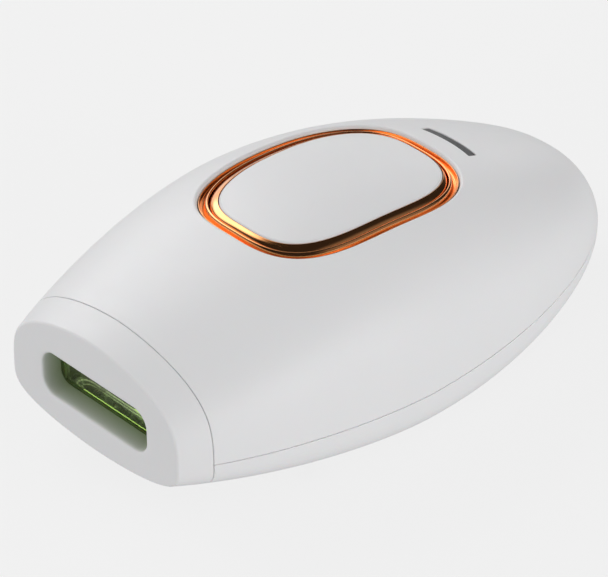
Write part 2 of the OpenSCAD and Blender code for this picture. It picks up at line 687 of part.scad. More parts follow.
module signal_leads() {
    color([0.9, 0.9, 0.9]) {
        wire(wire_path([0, 8, tray_z - 2.2], [0, 0, -4], [9.5, 19, board_z + 0.8], [0, 0, 8]), 0.5);
        wire(wire_path([slot_x + 1, -8, indicator_board_z - 1.8], [0, 0, -6], [-34, -14, board_z + 0.8], [0, 0, 8]), 0.5);
    }
}

module power_leads() {
    color([0.1, 0.1, 0.1]) for (s = [-1, 1])
        wire(wire_path([inlet_x + inlet_size[0] + 2.2, s * 3, inlet_z + 1], [4, 0, 0], [-47, s * 3.2, board_z + 0.9], [-2, 0, 5]), 0.7);
}

// ---- Lamp head ----

// A ring of the head's section, drawn in towards the window's axis by d
function shrink(ring, x, d) = [for (p = ring)
    let (c = [x, 0, window_z], v = [0, p[1], p[2] - window_z], l = norm(v)) c + v * (l - d) / l];

function full_ring(x, d) = shrink([for (j = [0 : 2 * arc_steps - 1])
    let (a = 360 - j * 180 / arc_steps) section_point(x, a % 360, 0)], x, d);

module head_shell() {
    edge = 0.5;
    color([0.93, 0.93, 0.94]) difference() {
        loft(concat([for (x = [case_x + joint_gap, case_x + 3, face_x - edge]) full_ring(x, 0)],
            [for (a = [30, 60, 90]) full_ring(face_x - edge + edge * sin(a), edge * (1 - cos(a)))]));
        hull() {
            window_slab(face_x, face_x + 0.1, window_w, window_h, 4.2);
            window_slab(glass_x - 0.1, glass_x, throat[0], throat[1], 3.2);
        }
        window_slab(glass_x - 2.3, glass_x, glass[1] + 0.4, glass[2] + 0.4, 1);
        window_slab(case_x - 1, glass_x - 2.2, holder[1] + 0.6, holder[2] + 0.4, 0.5);
        head_screw_holes(0.75);
        for (s = [-1, 1], y = [-18 : 9 : 18]) vent_notch(y, s);
    }
}
// Four screws at the corners of the glass clip
head_screw_yz = [for (sy = [-1, 1], sz = [-1, 1]) [sy * 20.1, window_z + sz * 5.6]];
module head_screw_holes(r) {
    for (c = head_screw_yz) translate([glass_x - 5, c[0], c[1]]) rotate([0, 90, 0]) cylinder(r = r, h = 7, $fn = 20);
}
// A rounded notch in the pocket's edge that lets cooling air past the lamp holder
module vent_notch(y, s) {
    translate([case_x - 1, y, window_z + s * (holder[2] / 2 + 0.2)]) hull() for (d = [-2, 2])
        translate([0, d, 0]) rotate([0, 90, 0]) cylinder(r = 0.9, h = 2.4, $fn = 16);
}

module filter_glass() {
    color([0.7, 0.85, 0.35, 0.6]) window_slab(glass_x - 0.05 - glass[0], glass_x - 0.05, glass[1], glass[2], 0.8);
}

module glass_gasket() {
    color([0.85, 0.85, 0.85]) difference() {
        window_slab(glass_x - 2.2, glass_x - 1.6, glass[1], glass[2], 0.8);
        window_slab(glass_x - 3, glass_x, glass_frame[0], glass_frame[1], 1);
    }
}

module glass_clip() {
    color([0.75, 0.76, 0.78]) difference() {
        window_slab(glass_x - 3.1, glass_x - 2.35, 42.6, 16.2, 1.4);
        window_slab(glass_x - 4, glass_x, glass_frame[0], glass_frame[1], 1);
        head_screw_holes(0.8);
    }
}

module flash_tube() {
    color([0.9, 0.95, 0.95, 0.4]) translate([tube_x, -tube_l / 2, window_z]) rotate([-90, 0, 0]) difference() {
        cylinder(d = tube_d, h = tube_l);
        translate([0, 0, 1.5]) cylinder(d = tube_d - 1.6, h = tube_l - 3);
        translate([0, 0, -1]) cylinder(d = 1.3, h = tube_l + 2);
    }
}

module tube_ends() {
    color([0.8, 0.8, 0.82]) for (s = [0, 180]) translate([tube_x, 0, window_z]) rotate([0, 0, s]) {
        translate([0, tube_l / 2 + 0.05, 0]) rotate([-90, 0, 0]) cylinder(d = tube_d - 0.6, h = 2);
        translate([0, tube_l / 2 - 9.6, 0]) rotate([-90, 0, 0]) cylinder(d = 1.2, h = 9.8);
        translate([0, tube_l / 2 - 13.5, 0]) rotate([-90, 0, 0]) cylinder(d = 2.6, h = 4);
    }
}

// A polished trough behind the tube: a half cylinder with straight cheeks towards the window
module reflector() {
    l = 34.8;
    front = glass_x - glass[0] - 0.2 - tube_x;
    color([0.85, 0.86, 0.88]) translate([tube_x, -l / 2, window_z]) rotate([-90, 0, 0]) difference() {
        union() {
            cylinder(r = 6.2, h = l);
            translate([0, -6.2, 0]) cube([front, 12.4, l]);
        }
        translate([0, 0, -1]) cylinder(r = 5.6, h = l + 2);
        translate([0, -5.6, -1]) cube([20, 11.2, l + 2]);
        translate([front, -10, -1]) cube([20, 20, l + 2]);
    }
}

module lamp_holder() {
    color([0.9, 0.9, 0.88]) difference() {
        translate([holder_back, -holder[1] / 2, window_z - holder[2] / 2]) cube(holder);
        translate([tube_x - 7.5, -holder[1] / 2 + holder_t, window_z - holder[2] / 2 + holder_t])
            cube([30, holder[1] - 2 * holder_t, holder[2] - 2 * holder_t]);
        for (y = contact_y) translate([holder_back - 1, y, window_z]) rotate([0, 90, 0]) cylinder(r = contact_r, h = 8.4);
        for (s = [-1, 1]) translate([holder_back + 4, s * 8 - 4, window_z - 12]) cube([8, 8, 24]);
    }
}

module head_pins() {
    color([0.85, 0.68, 0.35]) for (y = contact_y) translate([holder_back - 5.5, y, window_z]) rotate([0, 90, 0]) {
        cylinder(r = contact_r - 0.02, h = 12);
    }
}

module head_screws() {
    color([0.7, 0.7, 0.72]) for (c = head_screw_yz)
        translate([glass_x - 3.15, c[0], c[1]]) rotate([0, 90, 0]) screw(4.2, 0.7, 1.2, 1);
}

top_shell();
bottom_shell();
surround_ring();
button_cap();
button_skirt();
button_carrier();
button_tray();
button_springs();
tray_screws();
switch_board();
switch_body();
switch_plunger();
indicator_window();
light_pipe();
indicator_board();
indicator_leds();
main_board();
flash_capacitor();
capacitor_cradle();
transformer_core();
transformer_winding();
trigger_coil();
power_transistor();
heat_sink();
control_chips();
fan_frame();
fan_rotor();
fan_screws();
inlet_housing();
inlet_pin();
inlet_spring();
head_socket();
socket_contacts();
socket_screws();
case_screws();
board_screws();
lamp_leads();
signal_leads();
power_leads();
head_shell();
filter_glass();
glass_gasket();
glass_clip();
flash_tube();
tube_ends();
reflector();
lamp_holder();
head_pins();
head_screws();
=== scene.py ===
"""Looks for the flash hair remover: smooth outer shells, glass, metal trim, materials, light and camera.

Lengths in this script are millimetres in the part's own frame until mesh() turns them into metres.
"""
import json
import math

import bmesh
import bpy
import numpy as np
from mathutils import Matrix, Vector

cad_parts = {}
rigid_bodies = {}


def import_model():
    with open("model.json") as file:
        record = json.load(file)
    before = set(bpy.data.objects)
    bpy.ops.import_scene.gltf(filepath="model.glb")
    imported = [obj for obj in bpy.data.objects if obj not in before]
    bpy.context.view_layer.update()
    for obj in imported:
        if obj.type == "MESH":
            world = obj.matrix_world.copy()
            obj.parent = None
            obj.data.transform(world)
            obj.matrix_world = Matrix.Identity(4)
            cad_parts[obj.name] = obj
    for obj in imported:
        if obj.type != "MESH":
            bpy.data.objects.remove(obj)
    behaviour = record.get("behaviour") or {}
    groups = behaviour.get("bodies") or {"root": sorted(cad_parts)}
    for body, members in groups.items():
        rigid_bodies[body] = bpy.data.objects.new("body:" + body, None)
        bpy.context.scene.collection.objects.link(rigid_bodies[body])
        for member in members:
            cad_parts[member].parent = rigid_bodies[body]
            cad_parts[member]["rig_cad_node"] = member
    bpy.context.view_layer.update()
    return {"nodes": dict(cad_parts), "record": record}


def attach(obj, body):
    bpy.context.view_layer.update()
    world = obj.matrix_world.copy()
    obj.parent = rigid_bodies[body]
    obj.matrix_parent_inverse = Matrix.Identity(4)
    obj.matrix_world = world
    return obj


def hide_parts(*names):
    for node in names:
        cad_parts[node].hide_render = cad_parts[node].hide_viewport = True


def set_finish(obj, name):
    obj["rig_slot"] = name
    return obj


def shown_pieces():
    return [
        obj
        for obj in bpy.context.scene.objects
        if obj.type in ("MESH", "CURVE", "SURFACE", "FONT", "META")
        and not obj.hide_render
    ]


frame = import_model()

MM = 0.001

# ---- The body's surface: the same formulas of the station x as the CAD source ----

BODY_L = 150.0
BODY_W = 84.2
TAIL_X = -BODY_L / 2
FACE_X = BODY_L / 2
HALF_W = BODY_W / 2
HEAD_L = 8.2
CASE_X = FACE_X - HEAD_L
WIDEST_X = 10.4
TAIL_RUN = WIDEST_X - TAIL_X
NOSE_RUN = 91.6
CROWN_H = 36.95
BELLY_H = 13.54

# Terms of x / FACE_X: constant, linear and square.
SEAM = (12.6, 1.07, 3.76)
CROWN = (CROWN_H, 5.05, -26.26)
BELLY = (BELLY_H, 0.86, -4.45)
UP_M = (2.36, -0.284, -0.443)
UP_K = (2.94, 0.884, -0.413)
CROWN_FOURTH = 4.2
LOW_M = (5.06, 3.26)
LOW_M_RANGE = (1.8, 5.5)
LOW_K = 3.36

# Exponents that round the plan and the side view off.
TAIL_CURVE = (1.85, 2.49)
NOSE_CURVE = (1.57, 2.19)
CROWN_TAIL = 21.5
BELLY_TAIL = 3

WALL = 2.0
JOINT_GAP = 0.2
FIT_GAP = 0.15
SOFT_FLOOR = 1.2
RIM_R = 0.16

# Screw posts inside the case: how deep they run into the wall, radii of posts and of their holes.
POST_SINK = 1.0
TOP_POST_R = 3.0
LOW_POST_R = 3.4
SMALL_POST_R = 2.1
BOARD_POST_R = 2.4
BOARD_POST_Z = 8.4
SOCKET_POST_Z = 9.35
TOP_HOLE_R = 1.3
SMALL_HOLE_R = 1.06
BOARD_HOLE_R = 1.1
SCREW_HEAD_R = 2.6
SCREW_SHANK_R = 1.45

# Air slots in the belly: x, shift of each next slot, length, slots to each side of the middle.
GRILLES = ((29, 0.7, 17, 4), (-24, 0.0, 15, 3))
GRILLE_STEP = 4.0
GRILLE_SHRINK = 1.2
GRILLE_W = 1.6

SURROUND_X = 2.3
BUTTON_X = 1.6
SURROUND_A = 30.95
SURROUND_B = 22.3
CAP_A = 27.4
CAP_B = 17.85
RIM_P = 2.95
CAP_SINK = 1.3
CAP_T = 2.0
CAP_EDGE = 0.45
SKIRT_IN = 2.3
LIP = (
    (1.5, -0.45), (1.1, -0.03), (0.78, 0.08), (0.52, 0.27),
    (0.32, 0.55), (0.17, 0.95), (0.06, 1.5), (0.0, 2.3),
)

SLOT_X = -37.0
SLOT_HALF = 8.2
SLOT_W = 2.5
SLOT_BEND = 0.012

INLET_X = -70.8
INLET_Z = 17.5
INLET_MOUTH_R = 4.0
INLET_POCKET = (13.0, 9.0, 9.6)

WINDOW_Z = 21.2
WINDOW_W = 35.9
WINDOW_H = 11.7
GLASS_X = 70.2
THROAT = (34.2, 10.0)
GLASS = (1.5, 37.4, 14.2)
POCKET_DEEP = 2.25
HOLDER = (24.0, 46.0, 20.0)
TUBE_X = 64.2
TUBE_R = 2.5
TUBE_HALF = 19.0

CASE_SCREWS = ((-58.0, 14.0), (-58.0, -14.0), (38.0, 31.0), (38.0, -31.0))
BOARD_SCREWS = ((-44.0, 15.0), (-44.0, -15.0), (15.4, 18.0), (15.4, -18.0))
SOCKET_LUGS = ((54.0, 27.0), (54.0, -27.0))
TRAY_Z = 34.5
INDICATOR_BOARD_Z = 31.0
SQUARE = ((-1, -1), (1, -1), (1, 1), (-1, 1))

# ---- The studio ----

CAMERA_TURN = (137.6, 34.95, -0.64)
CAMERA_AIM_Z = 23.4
CAMERA_SHIFT = (-7.78, -5.74)
CAMERA_LENS = 250.06
CAMERA_DISTANCE = 989.0

# Name, direction and watts of the soft panels round the device.
PANEL_SIZE = (0.7, 0.7)
PANEL_DISTANCE = 1.2
PANELS = (
    ("left low", (-0.2, 1.0, 0.25), 5.8),
    ("right", (0.0, -1.0, 0.7), 4.1),
    ("front low", (1.0, 0.2, 0.2), 2.8),
    ("front right", (0.7, -0.7, 0.6), 1.9),
    ("back left", (-0.7, 0.7, 0.6), 1.1),
    ("back right", (-0.7, -0.7, 0.6), 0.5),
)

# The room polished surfaces see: direction, inner and outer angle, and strength of each glow.
ROOM_EVEN = 0.43
ROOM_DARK = 0.028
ROOM_PANELS = (
    ((-0.12, -0.74, 0.66), 13.0, 28.0, 2.8),
    ((-0.6, -0.78, 0.1), 20.0, 40.0, 1.1),
    ((-0.5, 0.75, 0.43), 10.0, 40.0, 0.24),
    ((0.6, -0.6, 0.1), 10.0, 40.0, 0.4),
)
FLOOR_SHADE = 0.12
FLOOR_BOUNCE = 0.48
FLOOR_SEEN = 0.78
FLOOR_FAR = 0.87
FLOOR_FADE = (0.35, 0.8)
FLOOR_REACH = 3000
FLOOR_Z = -0.02

LAMP_PIECES = ("quartz_tube", "electrodes_and_trigger_wire", "reflector_trough")
CLEAR_LAYERS = 32


def tail_part(x):
    return np.clip((WIDEST_X - x) / TAIL_RUN, 0.0, 1.0)


def nose_part(x):
    return np.clip((x - WIDEST_X) / NOSE_RUN, 0.0, 1.0)


def plan(x):
    """Half width of the body at station x."""
    tail = HALF_W * (1 - tail_part(x) ** TAIL_CURVE[0]) ** (1 / TAIL_CURVE[1])
    nose = HALF_W * (1 - nose_part(x) ** NOSE_CURVE[0]) ** (1 / NOSE_CURVE[1])
    return np.where(x < WIDEST_X, tail, nose)


def curve(terms, x):
    u = x / FACE_X
    return terms[0] + terms[1] * u + terms[2] * u**2


def seam_z(x):
    """Height of the parting line."""
    return curve(SEAM, x)


def crown(x):
    """Height of the body over the parting line."""
    return (curve(CROWN, x) + CROWN_FOURTH * (x / FACE_X) ** 4) * np.sqrt(1 - tail_part(x) ** CROWN_TAIL)


def belly(x):
    """Depth of the body under the parting line."""
    return curve(BELLY, x) * np.sqrt(1 - tail_part(x) ** BELLY_TAIL)


def up_m(x):
    return curve(UP_M, x)


def up_k(x):
    return curve(UP_K, x)


def low_m(x):
    return np.clip(LOW_M[0] - LOW_M[1] * x / FACE_X, *LOW_M_RANGE)


def shape(x, upper):
    """One half of the section at x: exponents across and up, height, and the height it has at most."""
    return (up_m(x), up_k(x), crown(x), CROWN_H) if upper else (low_m(x), LOW_K, belly(x), BELLY_H)


def skin_z(x, y, upper, inset=0.0):
    """Height of the crown or the belly at any point in plan, on the surface set in by inset."""
    m, k, tall, full = shape(x, upper)
    side = np.clip(np.abs(y) / (plan(x) * (1 - inset / HALF_W)), 0.0, 1.0) ** m
    rise = tall * (1 - inset / full) * (1 - side) ** (1 / k)
    return seam_z(x) + rise if upper else seam_z(x) - rise


def top_z(x, y):
    return skin_z(x, y, True)


def belly_z(x, y):
    return rest_on_floor(skin_z(x, y, False))


def rest_on_floor(z):
    """Flattens the belly where it stands, with a soft edge."""
    h = np.clip(SOFT_FLOOR - np.abs(z), 0.0, None) / SOFT_FLOOR
    return np.maximum(z, 0.0) + h * h * SOFT_FLOOR / 4 * np.where(z > -SOFT_FLOOR, 1.0, 0.0)


def power(v, e):
    return np.sign(v) * np.abs(v) ** (2 / e)


def section(x, a, upper, inset=0.0):
    """A point of the section at station x and angle a, on the surface set in by inset."""
    m, k, tall, full = shape(x, upper)
    y = plan(x) * (1 - inset / HALF_W) * power(np.cos(a), m)
    rise = tall * (1 - inset / full) * power(np.sin(a), k)
    z = seam_z(x) + rise if upper else seam_z(x) - rise
    back = np.where(x < WIDEST_X, WIDEST_X - (WIDEST_X - x) * (TAIL_RUN - inset) / TAIL_RUN, x)
    return np.stack([back + 0 * y, y, z], -1)


def lengths(p):
    """The length along a line of points up to each of them."""
    return np.concatenate([[0], np.cumsum(np.linalg.norm(np.diff(p, axis=0), axis=1))])


def even_angles(x, upper, first, count):
    """Angles from first to pi - first that cut the section at x into equal lengths."""
    w = np.linspace(0, 1, 1500)
    a = first + (math.pi - 2 * first) * (3 * w**2 - 2 * w**3)
    run = lengths(section(x, a, upper))
    return np.interp(np.linspace(0, run[-1], count), run, a)


def even_stations(count, x_end):
    """Stations from the tail tip to x_end, at equal lengths along the plan's outline."""
    w = np.linspace(0.0, 1.0, 4000)
    x = WIDEST_X - TAIL_RUN * np.sin(np.radians(89.97) * (1 - w))
    x = np.concatenate([x, np.linspace(WIDEST_X, x_end, 2000)[1:]])
    run = lengths(np.stack([x, plan(x), crown(x) * 0.6], -1))
    return np.interp(np.linspace(0, run[-1], count), run, x)


# ---- Mesh helpers ----


def mesh(name, points, faces, body=None, node=None, slot=None, angle=None):
    """A new object from points in millimetres, riding on a body and standing for a CAD node."""
    data = bpy.data.meshes.new(name)
    data.from_pydata([tuple(p) for p in np.asarray(points) * MM], [], faces)
    data.update()
    obj = added(name, data)
    outward(obj)
    if body:
        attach(obj, body)
    if node:
        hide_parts(node)
    if slot:
        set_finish(obj, slot)
    if angle:
        smooth(obj, angle)
    return obj


def outward(obj):
    """Turns every face to the outside."""
    bm = bmesh.new()
    bm.from_mesh(obj.data)
    bmesh.ops.recalc_face_normals(bm, faces=bm.faces)
    bm.to_mesh(obj.data)
    bm.free()


def smooth(obj, angle):
    """Shades smooth but for edges sharper than the angle."""
    obj.data.polygons.foreach_set("use_smooth", [True] * len(obj.data.polygons))
    obj.data.set_sharp_from_angle(angle=math.radians(angle))


def added(name, data):
    """A new object in the scene."""
    obj = bpy.data.objects.new(name, data)
    bpy.context.scene.collection.objects.link(obj)
    return obj


def grid_faces(rows, cols, start=0):
    corners = [start + i * cols + j for i in range(rows - 1) for j in range(cols - 1)]
    return [(k, k + 1, k + cols + 1, k + cols) for k in corners]


def loft(rings, closed=False, caps=True):
    """Points and faces of a skin through rings of equal length; closed joins the last to the first."""
    rings = [np.asarray(r) for r in rings]
    n = len(rings[0])
    points = np.concatenate(rings)
    faces = []
    count = len(rings)
    for i in range(count if closed else count - 1):
        a = i * n
        b = ((i + 1) % count) * n
        faces += [(a + j, a + (j + 1) % n, b + (j + 1) % n, b + j) for j in range(n)]
    if caps and not closed:
        faces.append(tuple(range(n)))
        faces.append(tuple((count - 1) * n + j for j in range(n - 1, -1, -1)))
    return points, faces


def joined(parts):
    """Several (points, faces) pairs as one."""
    points = []
    faces = []
    for p, f in parts:
        base = sum(len(q) for q in points)
        points.append(np.asarray(p))
        faces += [tuple(base + k for k in face) for face in f]
    return np.concatenate(points), faces


def cut(obj, parts, operation="DIFFERENCE"):
    """Cuts obj with closed solids, or joins them to it."""
    tool = mesh("cutter", *joined(parts))
    change = obj.modifiers.new("cut", "BOOLEAN")
    change.operation = operation
    change.solver = "EXACT"
    change.object = tool
    graph = bpy.context.evaluated_depsgraph_get()
    made = bpy.data.meshes.new_from_object(obj.evaluated_get(graph))
    obj.modifiers.clear()
    old = obj.data
    obj.data = made
    bpy.data.meshes.remove(old)
    bpy.data.objects.remove(tool)


def disc(centre, axis, r, count=40):
    """A ring of points round a centre; axis is 0, 1 or 2 for X, Y or Z."""
    a = np.linspace(0, 2 * math.pi, count, endpoint=False)
    ring = np.zeros((count, 3))
    ring[:, (axis + 1) % 3] = r * np.cos(a)
    ring[:, (axis + 2) % 3] = r * np.sin(a)
    return ring + np.asarray(centre, float)


def turned(centre, axis, profile, count=40):
    """A turned solid: profile is (distance along the axis, radius) pairs."""
    step = np.zeros(3)
    step[axis] = 1.0
    return loft([disc(np.asarray(centre) + step * s, axis, r, count) for s, r in profile])


def tube(path, r, count=10):
    """A round wire along a list of points."""
    path = np.asarray(path, float)
    rings = []
    side = None
    for i, p in enumerate(path):
        t = path[min(i + 1, len(path) - 1)] - path[max(i - 1, 0)]
        t /= np.linalg.norm(t)
        if side is None:
            side = np.cross(t, [0.0, 0.0, 1.0] if abs(t[2]) < 0.9 else [1.0, 0.0, 0.0])
        side = side - t * (side @ t)
        side /= np.linalg.norm(side)
        up = np.cross(t, side)
        a = np.linspace(0, 2 * math.pi, count, endpoint=False)[:, None]
        rings.append(p + r * (np.cos(a) * side + np.sin(a) * up))
    return loft(rings)


def rounded_rect(w, h, r, directions):
    """The outline of a rounded rectangle met along each direction (unit vectors in Y, Z)."""
    out = []
    for d in directions:
        t = np.abs(d)
        reach = min(w / 2 / max(t[0], 1e-9), h / 2 / max(t[1], 1e-9))
        corner = np.array([w / 2 - r, h / 2 - r])
        p = t * reach
        if p[0] > corner[0] and p[1] > corner[1]:
            b = t @ corner
            reach = b + math.sqrt(max(0.0, b * b - corner @ corner + r * r))
        out.append(d * reach)
    return np.array(out)


# ---- Case shells ----


def half_shell(name, upper, node, rows=170, cols=130):
    """One half of the case as a closed shell with rounded rims at the parting line and the nose."""
    side = 1.0 if upper else -1.0
    lift = JOINT_GAP / 2
    stations = even_stations(rows, CASE_X - RIM_R)
    stations[-1] = CASE_X - RIM_R
    turn = np.radians([0.0, 30.0, 60.0, 90.0])
    nose = [(CASE_X - RIM_R + RIM_R * math.sin(t), RIM_R * (1 - math.cos(t))) for t in turn[1:]]
    lines = [(x, 0.0) for x in stations] + nose
    outer = []
    inner = []
    for x, sunk in lines:
        x = np.array(x)
        k, tall = (float(v) for v in shape(x, upper)[1:3])
        r = min(RIM_R, 0.25 * tall)
        up = min(lift, 0.1 * tall)
        first = math.asin(min(0.9, ((up + r) / tall) ** (k / 2)))
        a = even_angles(x, upper, first, cols)
        arc = section(x, a, upper, sunk)
        rim = []
        for t in turn[:-1]:
            p = section(x, np.array(0.0), upper, sunk + r * (1 - math.sin(t)))
            p[2] = seam_z(p[0]) + side * (up + r * (1 - math.cos(t)))
            rim.append(p)
        far = [p * [1, -1, 1] for p in rim[::-1]]
        outer.append(np.concatenate([rim, arc, far]))
        hollow = section(np.minimum(x, CASE_X), a, upper, WALL)
        mouth = section(x, np.array(0.0), upper, WALL)
        mouth[2] = seam_z(mouth[0]) + side * up
        lip = [mouth + [0, 0, side * 0.01 * k] for k in range(len(rim))]
        hollow[:, 2] = np.maximum(hollow[:, 2] * side, mouth[2] * side + 0.05) * side
        other = [p * [1, -1, 1] for p in lip[::-1]]
        inner.append(np.concatenate([lip, hollow, other]))
    outer = np.array(outer)
    inner = np.array(inner)
    if not upper:
        outer[:, :, 2] = rest_on_floor(outer[:, :, 2])
        inner[:, :, 2] = np.maximum(inner[:, :, 2], WALL)
    n_rows, n_cols = outer.shape[:2]
    base = n_rows * n_cols
    faces = grid_faces(n_rows, n_cols) + grid_faces(n_rows, n_cols, base)
    for i in range(n_rows - 1):
        for j in (0, n_cols - 1):
            a, b = i * n_cols + j, (i + 1) * n_cols + j
            faces.append((a, b, base + b, base + a))
    last = (n_rows - 1) * n_cols
    for j in range(n_cols - 1):
        faces.append((last + j, last + j + 1, base + last + j + 1, base + last + j))
    for start in (0, base):
        faces.append(tuple(start + j for j in range(n_cols)))
    faces.append((0, n_cols - 1, base + n_cols - 1, base))
    points = np.concatenate([outer.reshape(-1, 3), inner.reshape(-1, 3)])
    return mesh(name, points, faces, "case", node, "case_plastic")


def read(things, key, width=1, kind=float):
    """One attribute of all vertices, corners or faces as an array."""
    out = np.zeros(len(things) * width, kind)
    things.foreach_get(key, out)
    return out.reshape(-1, width) if width > 1 else out


def true_normals(obj, upper):
    """Gives the outer skin the exact normals of the body's formulas, so cuts leave no shading marks."""
    smooth(obj, 35)
    data = obj.data
    co = read(data.vertices, "co", 3) / MM

    def level(p):
        x = np.clip(p[:, 0], TAIL_X + 1e-4, FACE_X)
        m, k, tall, _ = shape(x, upper)
        rise = (p[:, 2] - seam_z(x)) * (1 if upper else -1)
        wide = np.abs(p[:, 1]) / np.maximum(plan(x), 1e-6)
        return wide**m + np.clip(rise / np.maximum(tall, 1e-6), 0, None) ** k - 1

    step = 0.01
    slope = np.stack([(level(co + step * e) - level(co - step * e)) / (2 * step) for e in np.eye(3)], -1)
    size = np.linalg.norm(slope, axis=1)
    far = np.abs(level(co)) / np.maximum(size, 1e-9)
    exact = slope / np.maximum(size, 1e-9)[:, None]
    on_skin = far < 0.004
    good = on_skin & (co[:, 0] > TAIL_X + 0.6) & np.isfinite(exact).all(1)
    if not upper:
        good &= co[:, 2] > SOFT_FLOOR
        flat = np.abs(co[:, 2]) < 1e-4
        exact[flat] = (0, 0, -1)
        good |= flat
    corners = read(data.loops, "vertex_index", kind=int)
    normals = read(data.corner_normals, "vector", 3)
    totals = read(data.polygons, "loop_total", kind=int)
    face_n = read(data.polygons, "normal", 3)
    face_of = np.repeat(np.arange(len(totals)), totals)
    agrees = (face_n[face_of] * exact[corners]).sum(1) > 0.93
    use = good[corners] & agrees
    normals[use] = exact[corners][use]
    data.normals_split_custom_set([tuple(n) for n in normals])


def rim(cx, a, b, sink, count=320, floor=None):
    """A closed superellipse line on the crown, sunk under it."""
    fine = np.linspace(0, 2 * math.pi, 6001)
    x = cx + a * power(np.cos(fine), RIM_P)
    y = b * power(np.sin(fine), RIM_P)
    run = np.concatenate([[0], np.cumsum(np.hypot(np.diff(x), np.diff(y)))])
    even = np.linspace(0, run[-1], count, endpoint=False)
    x = np.interp(even, run, x)
    y = np.interp(even, run, y)
    z = top_z(x, y) - sink if floor is None else np.full(count, floor)
    return np.stack([x, y, z], -1)


def slot_ring(half, width, sink, turn_r=0.35, count=22, floor=None):
    """The curved indicator slot's outline on the crown, sunk under it."""
    y = np.linspace(-half, half, count)
    ends = []
    for s in (1, -1):
        edge = np.stack([SLOT_X + SLOT_BEND * y * y + s * width / 2, y], -1)
        ends.append(edge if s == 1 else edge[::-1])
    line = np.concatenate(ends)
    soft = []
    n = len(line)
    for i, p in enumerate(line):
        q, r = line[i - 1], line[(i + 1) % n]
        if i in (0, count - 1, count, n - 1):
            qa = p + (q - p) / np.linalg.norm(q - p) * turn_r
            ra = p + (r - p) / np.linalg.norm(r - p) * turn_r
            for t in (0.0, 0.25, 0.5, 0.75, 1.0):
                soft.append((1 - t) ** 2 * qa + 2 * t * (1 - t) * p + t * t * ra)
        else:
            soft.append(p)
    soft = np.array(soft)
    z = top_z(soft[:, 0], soft[:, 1]) - sink if floor is None else np.full(len(soft), floor)
    return np.stack([soft[:, 0], soft[:, 1], z], -1)


def surround_cutter():
    """The opening in the crown for the surround, with its rounded lip."""
    rings = [rim(SURROUND_X, SURROUND_A + 2.2, SURROUND_B + 2.2, -6.0)]
    rings += [rim(SURROUND_X, SURROUND_A + q, SURROUND_B + q, s) for q, s in LIP]
    rings.append(rim(SURROUND_X, SURROUND_A, SURROUND_B, 0, floor=25.0))
    return loft(rings)


def slot_cutter():
    half = SLOT_HALF
    lip = ((0.34, -0.06), (0.14, 0.05), (0.04, 0.14), (0, 0.3))
    rings = [slot_ring(half + 0.3, SLOT_W + 0.6, -3.0)]
    rings += [slot_ring(half + q / 2, SLOT_W + q, s) for q, s in lip]
    rings.append(slot_ring(half, SLOT_W, 0, floor=30.0))
    return loft(rings)


def inlet_cutter():
    """The round mouth of the power inlet, with a flared edge, and the pocket behind it."""
    r = INLET_MOUTH_R
    mouth = [(-81.0, r + 1.6), (-75.3, r + 1.2), (-74.2, r + 0.5), (-73.6, r + 0.18)]
    mouth += [(-73.1, r + 0.03), (-72.6, r), (INLET_X + 1.0, r)]
    x0 = INLET_X - FIT_GAP
    l, w, h = (v + 2 * FIT_GAP for v in INLET_POCKET)
    box = []
    for x in (x0, x0 + l):
        box.append([[x, sy * w / 2, INLET_Z + sz * h / 2] for sy, sz in SQUARE])
    return [turned((0, 0, INLET_Z), 0, mouth, 64), loft(box)]


def post(x, y, end, r, upper, count=36):
    """A post from height end into the wall of the crown or the belly."""
    free = disc((x, y, end), 2, r, count)
    fixed = free.copy()
    fixed[:, 2] = skin_z(fixed[:, 0], fixed[:, 1], upper, POST_SINK)
    if upper:
        return loft([free, fixed])
    fixed[:, 2] = np.maximum(fixed[:, 2], POST_SINK)
    return loft([fixed, free])


def tray_posts():
    """Where the small posts start that carry the tray and the indicator board."""
    reach = SURROUND_A + 3.2
    posts = [(SURROUND_X + s * reach, t * 6.0, TRAY_Z + 0.05) for s in (-1, 1) for t in (-1, 1)]
    return posts + [(SLOT_X - 4.6, s * 8.4, INDICATOR_BOARD_Z) for s in (-1, 1)]


def top_posts():
    tall = [post(x, y, float(seam_z(x)) + 1, TOP_POST_R, True) for x, y in CASE_SCREWS]
    return tall + [post(x, y, z, SMALL_POST_R, True, 28) for x, y, z in tray_posts()]


def drilled(x, y, low, high, r, count):
    return turned((x, y, 0), 2, [(low, r), (high, r)], count)


def top_holes():
    holes = [drilled(x, y, 0, float(seam_z(x)) + 11, TOP_HOLE_R, 28) for x, y in CASE_SCREWS]
    return holes + [drilled(x, y, z - 1, z + 4, SMALL_HOLE_R, 20) for x, y, z in tray_posts()]


def round_ended(u, v, reach, r):
    """The outline of a slot with round ends, in a plane."""
    a = np.linspace(-math.pi / 2, math.pi / 2, 9)
    right = np.stack([u + reach + r * np.cos(a), v + r * np.sin(a)], -1)
    left = np.stack([u - reach - r * np.cos(a), v - r * np.sin(a)], -1)
    return np.concatenate([right, left])


def grille_cutter(x, y, length, width):
    """A round-ended slot through the belly's flat, with a flared mouth."""
    rings = []
    for z, grow in ((-2.0, 0.5), (-0.04, 0.3), (0.08, 0.12), (0.22, 0.0), (5.0, 0.0)):
        line = round_ended(x, y, (length - width) / 2, width / 2 + grow)
        rings.append(np.column_stack([line, np.full(len(line), z)]))
    return loft(rings)


def build_top_shell():
    shell = half_shell("top_shell_skin", True, "top_shell")
    cut(shell, top_posts(), "UNION")
    cut(shell, [surround_cutter(), slot_cutter()] + inlet_cutter() + top_holes())
    true_normals(shell, True)


